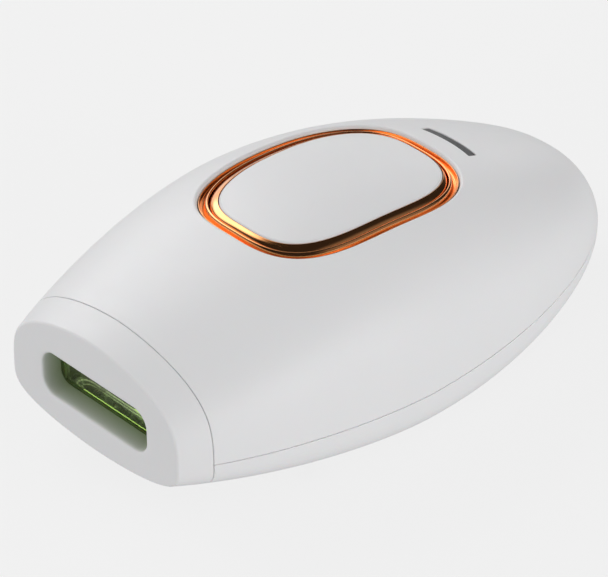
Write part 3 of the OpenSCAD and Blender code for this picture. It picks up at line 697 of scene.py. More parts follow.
def build_bottom_shell():
    shell = half_shell("bottom_shell_skin", False, "bottom_shell")
    posts = [post(x, y, float(seam_z(x)) - JOINT_GAP, LOW_POST_R, False) for x, y in CASE_SCREWS]
    posts += [post(x, y, BOARD_POST_Z, BOARD_POST_R, False, 28) for x, y in BOARD_SCREWS]
    posts += [post(x, y, SOCKET_POST_Z, BOARD_POST_R, False, 28) for x, y in SOCKET_LUGS]
    cut(shell, posts, "UNION")
    tools = []
    for x, y in CASE_SCREWS:
        low = float(belly_z(x, y))
        sunk = [(-3, SCREW_HEAD_R), (low + 3, SCREW_HEAD_R)]
        sunk += [(low + 3.001, SCREW_SHANK_R), (25, SCREW_SHANK_R)]
        tools.append(turned((x, y, 0), 2, sunk, 40))
    for x, y in BOARD_SCREWS + SOCKET_LUGS:
        tools.append(drilled(x, y, float(belly_z(x, y)) + WALL + 0.5, 25, BOARD_HOLE_R, 20))
    for x, shift, length, sides in GRILLES:
        for i in range(-sides, sides + 1):
            reach = length - abs(i) * GRILLE_SHRINK
            tools.append(grille_cutter(x - abs(i) * shift, i * GRILLE_STEP, reach, GRILLE_W))
    cut(shell, tools + inlet_cutter())
    true_normals(shell, False)


# ---- Lamp head ----


def full_ring(x, drawn_in, count=480):
    """The whole section at station x, drawn in towards the window's axis."""
    x = np.array(float(x))
    half = count // 2
    up = section(x, even_angles(x, True, 0.0, half + 1), True)[:-1]
    down = section(x, even_angles(x, False, 0.0, half + 1), False)[::-1][:-1]
    ring = np.concatenate([up, down])
    out = ring[:, 1:] - [0, WINDOW_Z]
    size = np.linalg.norm(out, axis=1)[:, None]
    ring[:, 1:] = [0, WINDOW_Z] + out * (size - drawn_in) / size
    return ring


def build_head_shell():
    """The nose: outer skin, flat face with a rounded edge, the window's funnel and the pockets behind."""
    back = CASE_X + JOINT_GAP
    r = RIM_R
    edge = 0.5
    corner = 4.2
    turn = np.radians([0, 30, 60, 90])
    rings = [full_ring(back + r - r * math.cos(t), r * (1 - math.sin(t))) for t in turn]
    rings += [full_ring(x, 0) for x in np.linspace(back + r, FACE_X - edge, 10)[1:]]
    turn = np.radians(np.arange(9, 91, 9))
    rings += [full_ring(FACE_X - edge + edge * math.sin(t), edge * (1 - math.cos(t))) for t in turn]
    outer = rings[-1]
    d = outer[:, 1:] - [0, WINDOW_Z]
    d /= np.linalg.norm(d, axis=1)[:, None]

    def window(x, w, h, round_r):
        line = rounded_rect(w, h, round_r, d)
        return np.concatenate([np.full((len(line), 1), x), line + [0, WINDOW_Z]], 1)

    soft = [(0.0, 0.62), (0.05, 0.36), (0.16, 0.16), (0.34, 0.03), (0.55, -0.06)]
    mouth = [window(FACE_X - s, WINDOW_W + 2 * g, WINDOW_H + 2 * g, corner + g) for s, g in soft]
    for t in (0.8, 0.6, 0.4, 0.2):
        rings.append(outer * t + mouth[0] * (1 - t))
    rings += mouth
    deep = FACE_X - GLASS_X
    throat_w, throat_h = THROAT
    for t in np.linspace(0.2, 1.0, 9):
        w = WINDOW_W + (throat_w - WINDOW_W) * t
        h = WINDOW_H + (throat_h - WINDOW_H) * t
        rings.append(window(FACE_X - deep * t, w, h, corner - t))
    rings += [window(x, GLASS[1] + 0.4, GLASS[2] + 0.4, 1.0) for x in (GLASS_X, GLASS_X - POCKET_DEEP)]
    rings += [window(x, HOLDER[1] + 0.6, HOLDER[2] + 0.4, 0.5) for x in (GLASS_X - POCKET_DEEP, back)]
    skin = loft(rings, closed=True)
    shell = mesh("head_shell_skin", *skin, "lamp_head", "head_shell", "head_plastic")
    notches = []
    for s in (-1, 1):
        for y in range(-18, 19, 9):
            line = round_ended(y, WINDOW_Z + s * (HOLDER[2] / 2 + 0.2), 2, 0.9)
            ends = (CASE_X - 1, CASE_X + 1.4)
            notches.append(loft([np.insert(line, 0, x, axis=1) for x in ends]))
    cut(shell, notches)
    smooth(shell, 32)


def build_filter():
    """The filter glass: a plate with rounded corners and edges."""
    thick, w, h = GLASS
    x1 = GLASS_X - 0.05
    x0 = x1 - thick
    corner = 0.8
    soft = 0.12
    count = 200
    a = np.linspace(0, 2 * math.pi, count, endpoint=False)
    d = np.stack([np.cos(a), np.sin(a)], -1)
    bit = soft * 0.3
    rings = []
    for x, g in ((x0, soft), (x0 + bit, bit), (x0 + soft, 0), (x1 - soft, 0), (x1 - bit, bit), (x1, soft)):
        line = rounded_rect(w - 2 * g, h - 2 * g, corner, d)
        rings.append(np.concatenate([np.full((count, 1), x), line + [0, WINDOW_Z]], 1))
    mesh("filter_pane", *loft(rings), "lamp_head", "filter_glass", "filter_glass", 50)


def build_flash_tube():
    """A hollow quartz tube with drawn-down ends."""
    neck = ((0, 1.1), (0.5, 1.5), (1.6, 2.2), (2.8, TUBE_R))
    outer = [(-TUBE_HALF + y, r) for y, r in neck]
    outer += [(y, TUBE_R) for y in np.linspace(-14, 14, 9)]
    outer += [(-y, r) for y, r in outer[:4][::-1]]
    inner = [(y * 0.94, r - 0.75) for y, r in outer[::-1]]
    rings = [disc((TUBE_X, s, WINDOW_Z), 1, r, 64) for s, r in outer + inner]
    mesh("quartz_tube", *loft(rings, closed=True), "lamp_head", "flash_tube", "quartz", 60)


def build_tube_ends():
    """End caps, tungsten electrodes and the trigger wire with its two bands round the tube."""
    cap = [(0.05, 2.1), (0.2, 2.2), (1.9, 2.2), (2.05, 2.0)]
    rod = [(-13.5, 0.3), (-13.4, 0.9), (-13.1, 1.25), (-9.9, 1.25), (-9.6, 1.05), (-9.5, 0.45), (0.3, 0.45)]
    wire_r = 0.13
    parts = []
    for s in (-1, 1):
        for profile, count in ((cap, 48), (rod, 32)):
            line = [(s * (TUBE_HALF + v), r) for v, r in profile]
            parts.append(turned((TUBE_X, 0, WINDOW_Z), 1, line, count))
        for k in range(3):
            a = np.linspace(0, 2 * math.pi, 40)
            y = s * (10.2 + 0.62 * k) + 0.62 * s * a / (2 * math.pi)
            r = TUBE_R + 0.2
            path = np.stack([TUBE_X + r * np.cos(a), y, WINDOW_Z + r * np.sin(a)], -1)
            parts.append(tube(path, wire_r, 8))
    y = np.linspace(-10.4, 10.4, 40)
    lift = 0.18 * np.sin(y * 0.9)
    path = np.stack([TUBE_X + 2.3 + 0 * y, y, WINDOW_Z - 1.5 + lift], -1)
    parts.append(tube(path, wire_r, 8))
    mesh("electrodes_and_trigger_wire", *joined(parts), "lamp_head", "tube_ends", "steel", 40)


def build_reflector():
    """A polished trough behind the tube: a half cylinder with straight cheeks towards the window."""
    r, wall, front = 5.6, 0.6, GLASS_X - GLASS[0] - 0.2 - TUBE_X
    a = np.linspace(-math.pi / 2, math.pi / 2, 41)
    inner = [(front - 0.12, -r - 0.03), (front - 0.3, -r)]
    inner += [(-r * math.cos(t), r * math.sin(t)) for t in a]
    inner += [(front - 0.3, r), (front - 0.12, r + 0.03), (front, r + 0.15)]
    outer = [(front, r + wall - 0.1), (front - 0.1, r + wall)]
    outer += [(-(r + wall) * math.cos(t), (r + wall) * math.sin(t)) for t in a[::-1]]
    outer += [(front - 0.1, -r - wall), (front, -r - wall + 0.1), (front, -r - 0.15)]
    line = np.array(inner + outer)
    rings = []
    for y in np.linspace(-17.4, 17.4, 12):
        rings.append(np.stack([line[:, 0] + TUBE_X, np.full(len(line), y), line[:, 1] + WINDOW_Z], -1))
    mesh("reflector_trough", *loft(rings), "lamp_head", "reflector", "mirror_aluminium", 30)


# ---- Button and its trim ----


def smooth_profile(points, per=6):
    """A rounded line through the points of a profile (Catmull-Rom)."""
    p = np.array(points, float)
    ends = np.concatenate([[2 * p[0] - p[1]], p, [2 * p[-1] - p[-2]]])
    out = []
    for i in range(1, len(ends) - 2):
        a, b, c, d = ends[i - 1 : i + 3]
        for t in np.linspace(0, 1, per, endpoint=False):
            square, cubic = 2 * a - 5 * b + 4 * c - d, 3 * b - a - 3 * c + d
            out.append(0.5 * (2 * b + (c - a) * t + square * t**2 + cubic * t**3))
    out.append(p[-1])
    return out


def build_surround():
    """The gold ring: a thin lining up the wall of the opening, a valley, and a bead next to the button."""
    a = SURROUND_A - FIT_GAP
    b = SURROUND_B - FIT_GAP
    lining = [(0.0, 1.7), (-0.05, 1.25), (-0.07, 1.08), (0.03, 1.0), (0.15, 1.12), (0.26, 1.55), (0.38, 2.1)]
    bead = [(0.62, 2.4), (0.95, 2.08), (1.2, 1.58), (1.45, 1.2), (1.72, 1.08), (1.93, 1.2), (2.04, 1.5)]
    top = smooth_profile(lining + bead)
    line = top + [(2.05, 5.0), (0.0, 5.0)]
    rings = [rim(SURROUND_X, a - q, b - q, s) for q, s in line]
    mesh("surround_bead", *loft(rings, closed=True), "case", "surround_ring", "rose_gold", 40)


def build_skirt():
    """The gold bezel round the cap: it rises from the bead's edge to the cap's edge."""
    outer = rim(SURROUND_X, SURROUND_A - FIT_GAP - SKIRT_IN, SURROUND_B - FIT_GAP - SKIRT_IN, 0.0)
    inner = rim(BUTTON_X, CAP_A + FIT_GAP, CAP_B + FIT_GAP, 0.0)
    top = [(0.0, 2.2), (0.04, 1.85), (0.16, 1.55), (0.42, 1.3), (0.75, 1.14), (0.96, 1.06), (1.0, 1.2)]
    rings = []
    for t, sink in smooth_profile(top) + [(1.0, 4.6), (0.0, 4.6)]:
        ring = outer * (1 - t) + inner * t
        ring[:, 2] = top_z(ring[:, 0], ring[:, 1]) - sink
        rings.append(ring)
    mesh("button_bezel", *loft(rings, closed=True), "flash_button", "button_skirt", "rose_gold", 40)


def build_cap():
    """The button cap: follows the crown, with a rounded edge."""
    r = CAP_EDGE
    top = CAP_SINK - 0.35
    shares = np.concatenate([[0.01], np.linspace(0.06, 0.94, 22), [0.97, 0.985]])
    rings = [rim(BUTTON_X, CAP_A * q, CAP_B * q, top) for q in shares]
    for t in np.radians(np.arange(0, 91, 10)):
        s = top + r * (1 - math.cos(t))
        rings.append(rim(BUTTON_X, CAP_A - r + r * math.sin(t), CAP_B - r + r * math.sin(t), s))
    rings += [rim(BUTTON_X, CAP_A * q, CAP_B * q, CAP_SINK + CAP_T) for q in (1.0, 0.9, 0.55, 0.04)]
    mesh("button_cap_skin", *loft(rings), "flash_button", "button_cap", "button_plastic", 40)


def build_indicator():
    """The smoked lens that fills the indicator slot."""
    half = SLOT_HALF - FIT_GAP
    w = SLOT_W - 2 * FIT_GAP
    rings = [slot_ring(half * q, w * q, 0.1 + 0.05 * q) for q in (0.05, 0.4, 0.8)]
    rings += [slot_ring(half - 0.08, w - 0.16, 0.18), slot_ring(half, w, 0.3)]
    rings.append(slot_ring(half, w, 0, floor=38.2))
    mesh("indicator_lens", *loft(rings), "case", "indicator_window", "smoked_lens", 40)


build_top_shell()
build_bottom_shell()
build_head_shell()
build_surround()
build_skirt()
build_cap()
build_indicator()
build_filter()
build_flash_tube()
build_tube_ends()
build_reflector()

# ---- Materials ----


class Nodes:
    """A node tree being built, with short calls for what it needs."""

    def __init__(self, tree):
        self.tree = tree

    def node(self, kind, **inputs):
        n = self.tree.nodes.new(kind)
        for key, value in inputs.items():
            n.inputs[key.replace("_", " ")].default_value = value
        return n

    def join(self, out, into):
        self.tree.links.new(out, into)

    def feed(self, value, into):
        """Links an output to an input, or sets the input to a value."""
        if isinstance(value, bpy.types.NodeSocket):
            self.join(value, into)
        else:
            into.default_value = value

    def ramp(self, fac, low, high, start=0.0, end=1.0, kind="LINEAR"):
        n = self.node("ShaderNodeMapRange")
        n.interpolation_type = kind
        for key, value in (("From Min", start), ("From Max", end), ("To Min", low), ("To Max", high)):
            self.feed(value, n.inputs[key])
        self.join(fac, n.inputs["Value"])
        return n.outputs["Result"]

    def maths(self, operation, first, second=0.0):
        n = self.node("ShaderNodeMath")
        n.operation = operation
        self.feed(first, n.inputs[0])
        self.feed(second, n.inputs[1])
        return n.outputs[0]

    def mixed(self, kind, first, second, fac=None):
        """Two shaders added or mixed."""
        n = self.node(kind)
        if fac is not None:
            self.feed(fac, n.inputs[0])
        self.join(first, n.inputs[-2])
        self.join(second, n.inputs[-1])
        return n.outputs[0]


class Finish(Nodes):
    """A material being made: colour, roughness and relief vary at the scale of the real surface."""

    def __init__(self, name, colour, rough, metallic=0.0, ior=1.46):
        self.slot = name
        self.material = bpy.data.materials.new(name)
        self.material.use_nodes = True
        super().__init__(self.material.node_tree)
        self.shader = self.tree.nodes["Principled BSDF"]
        self.output = self.tree.nodes["Material Output"]
        self.colour = (*colour, 1.0)
        self.set("Base Color", self.colour)
        self.set("Roughness", rough)
        self.set("Metallic", metallic)
        self.set("IOR", ior)
        self.place = self.node("ShaderNodeTexCoord").outputs["Object"]
        self.normal = None

    def set(self, key, value):
        self.shader.inputs[key].default_value = value

    def axes(self, vector):
        n = self.node("ShaderNodeSeparateXYZ")
        self.join(vector, n.inputs[0])
        return n.outputs

    def stretched(self, scale):
        """Object coordinates scaled per axis, for grain that runs one way."""
        n = self.node("ShaderNodeMapping")
        n.inputs["Scale"].default_value = scale
        self.join(self.place, n.inputs["Vector"])
        return n.outputs["Vector"]

    def noise(self, per_mm, detail=3.0, place=None):
        """Noise with about per_mm features a millimetre."""
        n = self.node("ShaderNodeTexNoise", Scale=per_mm * 1000, Detail=detail)
        self.join(place or self.place, n.inputs["Vector"])
        return n.outputs["Fac"]

    def cells(self, per_mm):
        n = self.node("ShaderNodeTexVoronoi", Scale=per_mm * 1000)
        self.join(self.place, n.inputs["Vector"])
        return n.outputs["Distance"]

    def bands(self, per_mm, direction="X", wobble=0.0):
        n = self.node("ShaderNodeTexWave", Scale=per_mm * 1000 * math.pi / 10, Distortion=wobble)
        n.bands_direction = direction
        self.join(self.place, n.inputs["Vector"])
        return n.outputs["Fac"]

    def distance(self, out, centre_mm):
        """How far a coordinate is from a centre, either way."""
        return self.maths("ABSOLUTE", self.maths("SUBTRACT", out, centre_mm * MM))

    def within(self, *limits):
        """1 where each value is past its second limit, 0 before its first."""
        parts = [self.ramp(out, 0.0, 1.0, low, high) for out, low, high in limits]
        total = parts[0]
        for part in parts[1:]:
            total = self.maths("MULTIPLY", total, part)
        return total

    def colours(self, first, second, fac):
        """One colour that turns into another where fac is high."""
        n = self.node("ShaderNodeMix")
        n.data_type = "RGBA"
        self.feed(first, n.inputs[6])
        self.feed(second, n.inputs[7])
        self.join(fac, n.inputs["Factor"])
        return n.outputs[2]

    def tint(self, fac, other, start=0.0, end=1.0):
        """Mixes the present base colour with another where fac is high."""
        now = self.shader.inputs["Base Color"]
        first = now.links[0].from_socket if now.links else self.colour
        self.join(self.colours(first, (*other, 1.0), self.ramp(fac, 0.0, 1.0, start, end)), now)

    def vary_roughness(self, fac, low, high):
        self.join(self.ramp(fac, low, high, 0.3, 0.7), self.shader.inputs["Roughness"])

    def scatter(self, weight, scale_mm):
        """Lets a little light travel under the surface."""
        self.set("Subsurface Weight", weight)
        self.set("Subsurface Scale", scale_mm * MM)

    def soften(self, radius_mm):
        """Rounds off sharp edges in the shading."""
        n = self.node("ShaderNodeBevel", Radius=radius_mm * MM)
        n.samples = 4
        self.normal = n.outputs["Normal"]
        self.join(self.normal, self.shader.inputs["Normal"])

    def relief(self, height, depth_mm, strength=1.0):
        n = self.node("ShaderNodeBump", Strength=strength, Distance=depth_mm * MM)
        self.join(height, n.inputs["Height"])
        if self.normal:
            self.join(self.normal, n.inputs["Normal"])
        self.normal = n.outputs["Normal"]
        self.join(self.normal, self.shader.inputs["Normal"])

    def edge_wear(self, other, amount=0.5):
        """Lightens or darkens the sharpest edges, broken up by noise."""
        pointed = self.node("ShaderNodeNewGeometry").outputs["Pointiness"]
        mask = self.maths(
            "MULTIPLY",
            self.ramp(pointed, 0.0, amount, 0.52, 0.62),
            self.ramp(self.noise(0.8), 0.0, 1.0, 0.35, 0.65),
        )
        self.tint(mask, other)


def moulded(name, colour, rough, grain, depth, soft=0.0, shade=0.96):
    """Moulded plastic: faint flow marks in the colour, a fine spark-eroded grain, handled edges."""
    f = Finish(name, colour, rough)
    if soft:
        f.soften(soft)
    f.tint(f.noise(0.03, 2.0), [c * shade for c in colour], 0.4, 0.75)
    f.vary_roughness(f.noise(0.25, 4.0), rough - 0.04, rough + 0.05)
    f.relief(f.noise(grain, 2.0), depth, 0.5)
    f.edge_wear([min(1.0, c * 0.9 + 0.06) for c in colour], 0.4)
    return f


def metal(name, colour, rough, brushed=None, soft=0.0, wear=None, relief=0.0015):
    """Metal with hairline marks along one axis, uneven polish and rubbed edges."""
    f = Finish(name, colour, rough, metallic=1.0, ior=1.5)
    if soft:
        f.soften(soft)
    lines = f.noise(1.0, 4.0, f.stretched(brushed)) if brushed else f.noise(6.0, 3.0)
    f.vary_roughness(f.noise(0.4, 3.0), rough * 0.75, rough * 1.3)
    f.tint(f.noise(0.2, 3.0), [c * 0.9 for c in colour], 0.4, 0.8)
    f.relief(lines, relief, 0.5)
    f.edge_wear(wear or [min(1.0, c * 1.1) for c in colour], 0.5)
    return f


def rose_gold():
    f = metal("rose_gold", (0.88, 0.37, 0.13), 0.15, wear=(0.92, 0.46, 0.22))
    f.set("Coat Weight", 0.6)
    f.set("Coat Roughness", 0.08)
    return f


def smoked_lens():
    f = Finish("smoked_lens", (0.045, 0.048, 0.047), 0.42, ior=1.45)
    f.tint(f.noise(0.3, 2.0), (0.036, 0.039, 0.038), 0.4, 0.7)
    f.relief(f.noise(3.0, 2.0), 0.002, 0.4)
    f.vary_roughness(f.noise(1.0, 3.0), 0.36, 0.5)
    return f


def see_through(name, tint, gloss_rough, fresnel_ior, body_colour=None, body=0.0, painted_rim_glow=0.0):
    """Clear pieces: light passes straight through with a tint, and both sides reflect by their angle."""
    f = Finish(name, body_colour or tint, gloss_rough, ior=fresnel_ior)
    clear = f.node("ShaderNodeBsdfTransparent")
    streak = f.ramp(f.noise(0.15, 2.0), 0.0, 1.0, 0.35, 0.75)
    f.join(f.colours((*tint, 1.0), (*[t * 0.9 for t in tint], 1.0), streak), clear.inputs["Color"])
    shine = f.node("ShaderNodeBsdfGlossy", Color=(1, 1, 1, 1))
    polish = f.ramp(f.noise(0.5, 3.0), gloss_rough * 0.6, gloss_rough * 1.5, 0.3, 0.7)
    f.join(polish, shine.inputs["Roughness"])
    bend = f.node("ShaderNodeBump", Strength=0.3, Distance=0.002 * MM)
    f.join(f.noise(0.6, 2.0), bend.inputs["Height"])
    f.join(bend.outputs["Normal"], shine.inputs["Normal"])
    angle = f.node("ShaderNodeFresnel")
    leaving = f.node("ShaderNodeNewGeometry").outputs["Backfacing"]
    f.join(f.ramp(leaving, fresnel_ior, 1.0 / fresnel_ior), angle.inputs["IOR"])
    f.join(bend.outputs["Normal"], angle.inputs["Normal"])
    mix_shader = "ShaderNodeMixShader"
    out = f.mixed(mix_shader, clear.outputs["BSDF"], shine.outputs["BSDF"], angle.outputs["Fac"])
    if body:
        out = f.mixed(mix_shader, out, f.shader.outputs["BSDF"], body)
    # Painted highlight: the grazing edges glow in the tint, standing in for reflections the dark room does
    # not give.
    if painted_rim_glow:
        light = f.node("ShaderNodeEmission", Color=(*tint, 1.0))
        facing = f.node("ShaderNodeLayerWeight", Blend=0.5).outputs["Facing"]
        f.join(f.ramp(facing, 0.0, painted_rim_glow, 0.5, 1.0), light.inputs["Strength"])
        out = f.mixed("ShaderNodeAddShader", out, light.outputs["Emission"])
    f.join(out, f.output.inputs["Surface"])
    return f


def circuit_board():
    f = Finish("circuit_board", (0.02, 0.14, 0.06), 0.35, ior=1.5)
    f.soften(0.1)
    bare, line = (0, 0, 0, 1), (1, 1, 1, 1)
    tracks = f.node("ShaderNodeTexBrick", Scale=260.0, Color1=bare, Color2=bare, Mortar=line)
    tracks.inputs["Mortar Size"].default_value = 0.035
    f.join(f.place, tracks.inputs["Vector"])
    f.tint(tracks.outputs["Color"], (0.06, 0.27, 0.11))
    f.tint(f.cells(0.35), (0.55, 0.42, 0.16), 0.06, 0.03)
    f.vary_roughness(f.noise(1.0), 0.25, 0.45)
    f.relief(tracks.outputs["Color"], 0.03, 0.6)
    return f


def led_resin():
    f = moulded("led_resin", (0.93, 0.88, 0.62), 0.25, 1.0, 0.002, 0.1)
    f.scatter(0.4, 0.8)
    return f


def capacitor_sleeve():
    f = Finish("capacitor_sleeve", (0.03, 0.05, 0.15), 0.28, ior=1.5)
    f.tint(f.bands(0.09, "Y"), (0.35, 0.37, 0.42), 0.93, 0.97)
    f.vary_roughness(f.noise(0.4, 3.0), 0.2, 0.36)
    f.relief(f.noise(0.5, 4.0), 0.03, 0.5)
    return f


def ferrite():
    f = Finish("ferrite", (0.045, 0.045, 0.05), 0.6, ior=1.5)
    f.soften(0.25)
    f.tint(f.noise(4.0, 2.0), (0.12, 0.12, 0.125), 0.6, 0.75)
    f.relief(f.noise(2.0, 5.0), 0.03, 0.8)
    f.edge_wear((0.16, 0.16, 0.17), 0.7)
    return f


def winding_tape():
    f = Finish("winding_tape", (0.80, 0.52, 0.07), 0.3, ior=1.48)
    f.soften(0.3)
    f.tint(f.bands(0.35, "Z", 0.4), (0.62, 0.36, 0.04), 0.8, 1.0)
    f.vary_roughness(f.noise(0.7, 3.0), 0.2, 0.42)
    f.relief(f.bands(0.35, "Z", 0.4), 0.05, 0.6)
    return f


def coil_resin():
    f = Finish("coil_resin", (0.33, 0.03, 0.025), 0.22, ior=1.52)
    f.tint(f.bands(1.6, "Z", 0.2), (0.48, 0.10, 0.03), 0.5, 1.0)
    f.vary_roughness(f.noise(0.8), 0.14, 0.34)
    f.relief(f.bands(1.6, "Z", 0.2), 0.05, 0.7)
    return f


def wire(name, colour):
    f = Finish(name, colour, 0.42)
    f.tint(f.noise(0.6, 3.0), [c * 0.8 for c in colour], 0.45, 0.75)
    f.vary_roughness(f.noise(1.2), 0.34, 0.5)
    f.relief(f.noise(2.5, 3.0), 0.01, 0.5)
    return f


def silicone():
    f = moulded("silicone", (0.72, 0.74, 0.72), 0.5, 1.5, 0.01, 0.1)
    f.scatter(0.5, 1.5)
    return f


def holder_plastic():
    f = moulded("holder_plastic", (0.76, 0.74, 0.68), 0.5, 2.0, 0.01, 0.3)
    f.tint(f.cells(1.6), (0.62, 0.59, 0.52), 0.16, 0.05)
    return f


def body_plastic(name, colour, rough=0.36):
    """The off-white shells: a satin skin under a thin soft gloss."""
    f = moulded(name, colour, rough, 3.0, 0.0025, shade=0.985)
    f.set("Specular IOR Level", 0.5)
    f.scatter(0.06, 0.6)
    return f


def case_plastic():
    """The case's plastic; the moulded lip that drops to the gold surround is painted whiter, painted light
    that lifts the shade in that recess.
    """
    f = body_plastic("case_plastic", (0.80, 0.80, 0.81))
    place = f.axes(f.place)
    facing = f.axes(f.node("ShaderNodeNewGeometry").outputs["Normal"])
    # Painted light: the steep wall round the surround opening is whitened to cancel the shade that falls in
    # it.
    lip = f.within(
        (f.distance(place["X"], BUTTON_X), (SURROUND_A + 2.0) * MM, (SURROUND_A + 1.6) * MM),
        (f.distance(place["Y"], 0.0), (SURROUND_B + 2.0) * MM, (SURROUND_B + 1.6) * MM),
        (facing["Z"], 0.65, 0.4),
    )
    f.tint(lip, (0.97, 0.97, 0.97))
    return f


def head_plastic():
    """The nose's plastic; the window's funnel takes painted shade and a painted green reflection of the
    filter glass, growing grey-green towards the glass.
    """
    f = body_plastic("head_plastic", (0.79, 0.79, 0.80), 0.38)
    place = f.axes(f.place)
    depth = f.ramp(place["X"], 0.0, 1.0, (FACE_X - 0.2) * MM, GLASS_X * MM)
    inside = f.within(
        (f.distance(place["Y"], 0.0), (WINDOW_W / 2 + 0.9) * MM, (WINDOW_W / 2 + 0.7) * MM),
        (f.distance(place["Z"], WINDOW_Z), (WINDOW_H / 2 + 0.9) * MM, (WINDOW_H / 2 + 0.7) * MM),
    )
    # Painted shade and painted green reflection: the funnel walls darken to grey-green with depth towards
    # the filter glass.
    f.tint(f.maths("MULTIPLY", f.maths("POWER", depth, 0.42), inside), (0.27, 0.33, 0.20))
    return f


def make_finishes():
    made = [
        case_plastic(),
        body_plastic("button_plastic", (0.80, 0.80, 0.81), 0.34),
        head_plastic(),
        rose_gold(),
        smoked_lens(),
        see_through("clear_plastic", (0.86, 0.9, 0.92), 0.25, 1.49, (0.8, 0.85, 0.88), 0.35),
        circuit_board(),
        led_resin(),
        moulded("black_plastic", (0.022, 0.022, 0.025), 0.42, 2.0, 0.012, 0.15),
        moulded("dark_plastic", (0.055, 0.055, 0.06), 0.5, 1.5, 0.015, 0.2),
        moulded("amber_plastic", (0.72, 0.26, 0.03), 0.3, 1.5, 0.004, 0.1),
        capacitor_sleeve(),
        ferrite(),
        winding_tape(),
        coil_resin(),
        metal("bare_aluminium", (0.77, 0.78, 0.80), 0.34, (12, 12, 0.4), 0.12),
        metal("mirror_aluminium", (0.86, 0.87, 0.88), 0.035, (8, 0.4, 8), relief=0.0003),
        metal("steel", (0.60, 0.60, 0.62), 0.3, (10, 10, 1.5), 0.08),
        metal("contact_brass", (0.83, 0.61, 0.25), 0.22, (1.0, 10, 10), 0.08),
        wire("red_wire", (0.50, 0.025, 0.02)),
        wire("white_wire", (0.74, 0.74, 0.73)),
        wire("black_wire", (0.02, 0.02, 0.02)),
        see_through("filter_glass", (0.81, 0.91, 0.60), 0.03, 1.5, (0.25, 0.33, 0.08), 0.04),
        see_through("quartz", (0.95, 0.97, 0.95), 0.02, 1.6, painted_rim_glow=0.5),
        silicone(),
        holder_plastic(),
    ]
    return {f.slot: f.material for f in made}


def paint_everything():
    """Each piece takes the material of its slot; CAD nodes take theirs from the record."""
    finishes = make_finishes()
    slot_of = {part["node"]: part["material_slot"] for part in frame["record"]["subparts"]}
    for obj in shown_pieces():
        slot = obj.get("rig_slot") or slot_of[obj["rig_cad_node"]]
        if not obj.material_slots:
            obj.data.materials.append(None)
        for place in obj.material_slots:
            place.material = finishes[slot]
    shading = shade_group()
    for obj in frame["nodes"].values():
        if not obj.hide_render:
            obj.modifiers.new("shading", "NODES").node_group = shading


def shade_group(angle=32.0):
    """A modifier's node group that shades smooth but for edges over an angle; the mesh stays as it is."""
    group = bpy.data.node_groups.new("smooth_by_angle", "GeometryNodeTree")
    group.interface.new_socket("Geometry", in_out="INPUT", socket_type="NodeSocketGeometry")
    group.interface.new_socket("Geometry", in_out="OUTPUT", socket_type="NodeSocketGeometry")
    g = Nodes(group)
    come = g.node("NodeGroupInput")
    go = g.node("NodeGroupOutput")
    faces = g.node("GeometryNodeSetShadeSmooth")
    edges = g.node("GeometryNodeSetShadeSmooth")
    edges.domain = "EDGE"
    bend = g.node("GeometryNodeInputMeshEdgeAngle")
    flat = g.node("FunctionNodeCompare")
    flat.operation = "LESS_EQUAL"
    flat.inputs[1].default_value = math.radians(angle)
    g.join(come.outputs[0], faces.inputs["Geometry"])
    g.join(faces.outputs["Geometry"], edges.inputs["Geometry"])
    g.join(bend.outputs["Unsigned Angle"], flat.inputs[0])
    g.join(flat.outputs["Result"], edges.inputs["Shade Smooth"])
    g.join(edges.outputs["Geometry"], go.inputs[0])
    return group


paint_everything()

# ---- Camera ----


def place_camera():
    azimuth, elevation, roll = (math.radians(v) for v in CAMERA_TURN)
    flat = math.cos(elevation)
    back = Vector((math.sin(azimuth) * flat, -math.cos(azimuth) * flat, math.sin(elevation)))
    right = Vector((math.cos(azimuth), math.sin(azimuth), 0))
    up = back.cross(right)
    across = math.cos(roll) * right + math.sin(roll) * up
    above = math.cos(roll) * up - math.sin(roll) * right
    aim = Vector((0, 0, CAMERA_AIM_Z)) + CAMERA_SHIFT[0] * right + CAMERA_SHIFT[1] * up
    data = bpy.data.cameras.new("camera")
    data.lens = CAMERA_LENS
    data.sensor_width = 36.0
    data.clip_start = 0.05
    data.clip_end = 50.0
    camera = added("camera", data)
    place = (aim + CAMERA_DISTANCE * back) * MM
    turn = Matrix((across, above, back)).transposed().to_4x4()
    camera.matrix_world = Matrix.Translation(place) @ turn
    bpy.context.scene.camera = camera


def area_light(name, direction, distance, size, power):
    """A soft panel turned to the device; mirrors and the camera don't see it."""
    data = bpy.data.lights.new(name, "AREA")
    data.shape = "RECTANGLE"
    data.size, data.size_y = size
    data.energy = power
    light = added(name, data)
    d = Vector(direction).normalized()
    light.location = d * distance
    light.rotation_mode = "QUATERNION"
    light.rotation_quaternion = d.to_track_quat("Z", "Y")
    light.visible_glossy = False
    light.visible_camera = False
    return light


def window_light():
    """A soft panel that only the flash lamp sees, so its mirror and tube can be read through the filter."""
    light = area_light("window", (0.6, -0.62, 0.12), 0.6, (0.55, 0.5), 1.6)
    light.visible_glossy = True
    lamp = bpy.data.collections.new("lamp")
    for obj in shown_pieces():
        if obj.name in LAMP_PIECES:
            lamp.objects.link(obj)
    light.light_linking.receiver_collection = lamp


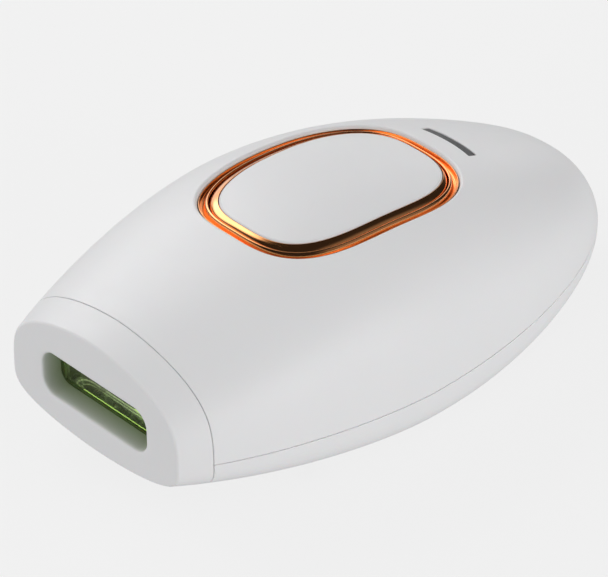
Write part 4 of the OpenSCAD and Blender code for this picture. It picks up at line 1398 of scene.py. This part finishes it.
def studio_world():
    """Even light for matt surfaces; polished ones see a darker room with one bright side."""
    world = bpy.data.worlds.new("studio")
    world.use_nodes = True
    room = Nodes(world.node_tree)
    background = room.tree.nodes["Background"]
    background.inputs["Color"].default_value = (1, 1, 1, 1)
    place = room.node("ShaderNodeTexCoord").outputs["Generated"]
    path = room.node("ShaderNodeLightPath").outputs
    polished = room.maths("ADD", ROOM_DARK)
    for direction, inner, outer, strength in ROOM_PANELS:
        aim = room.node("ShaderNodeVectorMath")
        aim.operation = "DOT_PRODUCT"
        aim.inputs[1].default_value = Vector(direction).normalized()
        room.join(place, aim.inputs[0])
        edges = [math.cos(math.radians(v)) for v in (outer, inner)]
        glow = room.ramp(aim.outputs["Value"], 0.0, 1.0, *edges, kind="SMOOTHSTEP")
        polished = room.maths("ADD", polished, room.maths("MULTIPLY", glow, strength))
    first_hit = room.maths("LESS_THAN", path["Diffuse Depth"], 0.5)
    mirrored = room.maths("MULTIPLY", path["Is Glossy Ray"], first_hit)
    backdrop = room.maths("MULTIPLY", path["Is Camera Ray"], FLOOR_FAR - ROOM_EVEN)
    even = room.maths("ADD", ROOM_EVEN, backdrop)
    matt = room.maths("MULTIPLY", room.maths("SUBTRACT", 1.0, mirrored), even)
    both = room.maths("ADD", room.maths("MULTIPLY", polished, mirrored), matt)
    room.join(both, background.inputs["Strength"])
    bpy.context.scene.world = world


def floor_finish():
    """A pale sweep that glows evenly, so it stays plain, with a little real shade under the device."""
    f = Finish("floor", (FLOOR_SHADE,) * 3, 1.0, ior=1.5)
    f.set("Specular IOR Level", 0.0)
    reach = f.node("ShaderNodeVectorMath")
    reach.operation = "LENGTH"
    f.join(f.place, reach.inputs[0])
    away = reach.outputs["Value"]
    f.join(f.ramp(away, FLOOR_SHADE, 0.0, *FLOOR_FADE, kind="SMOOTHSTEP"), f.shader.inputs["Base Color"])
    seen = f.ramp(away, FLOOR_SEEN, FLOOR_FAR, *FLOOR_FADE, kind="SMOOTHSTEP")
    level = f.ramp(f.node("ShaderNodeLightPath").outputs["Is Camera Ray"], FLOOR_BOUNCE, seen)
    glow = f.node("ShaderNodeEmission")
    f.join(level, glow.inputs["Strength"])
    out = f.mixed("ShaderNodeAddShader", f.shader.outputs["BSDF"], glow.outputs["Emission"])
    f.join(out, f.output.inputs["Surface"])
    return f.material


place_camera()
studio_world()
for name, direction, power in PANELS:
    area_light(name, direction, PANEL_DISTANCE, PANEL_SIZE, power)
window_light()
bpy.context.scene.view_settings.view_transform = "Standard"
bpy.context.scene.cycles.transparent_max_bounces = CLEAR_LAYERS

outline = [[x * FLOOR_REACH, y * FLOOR_REACH, FLOOR_Z] for x, y in SQUARE]
floor = mesh("floor", outline, [(0, 1, 2, 3)])
floor.data.materials.append(floor_finish())
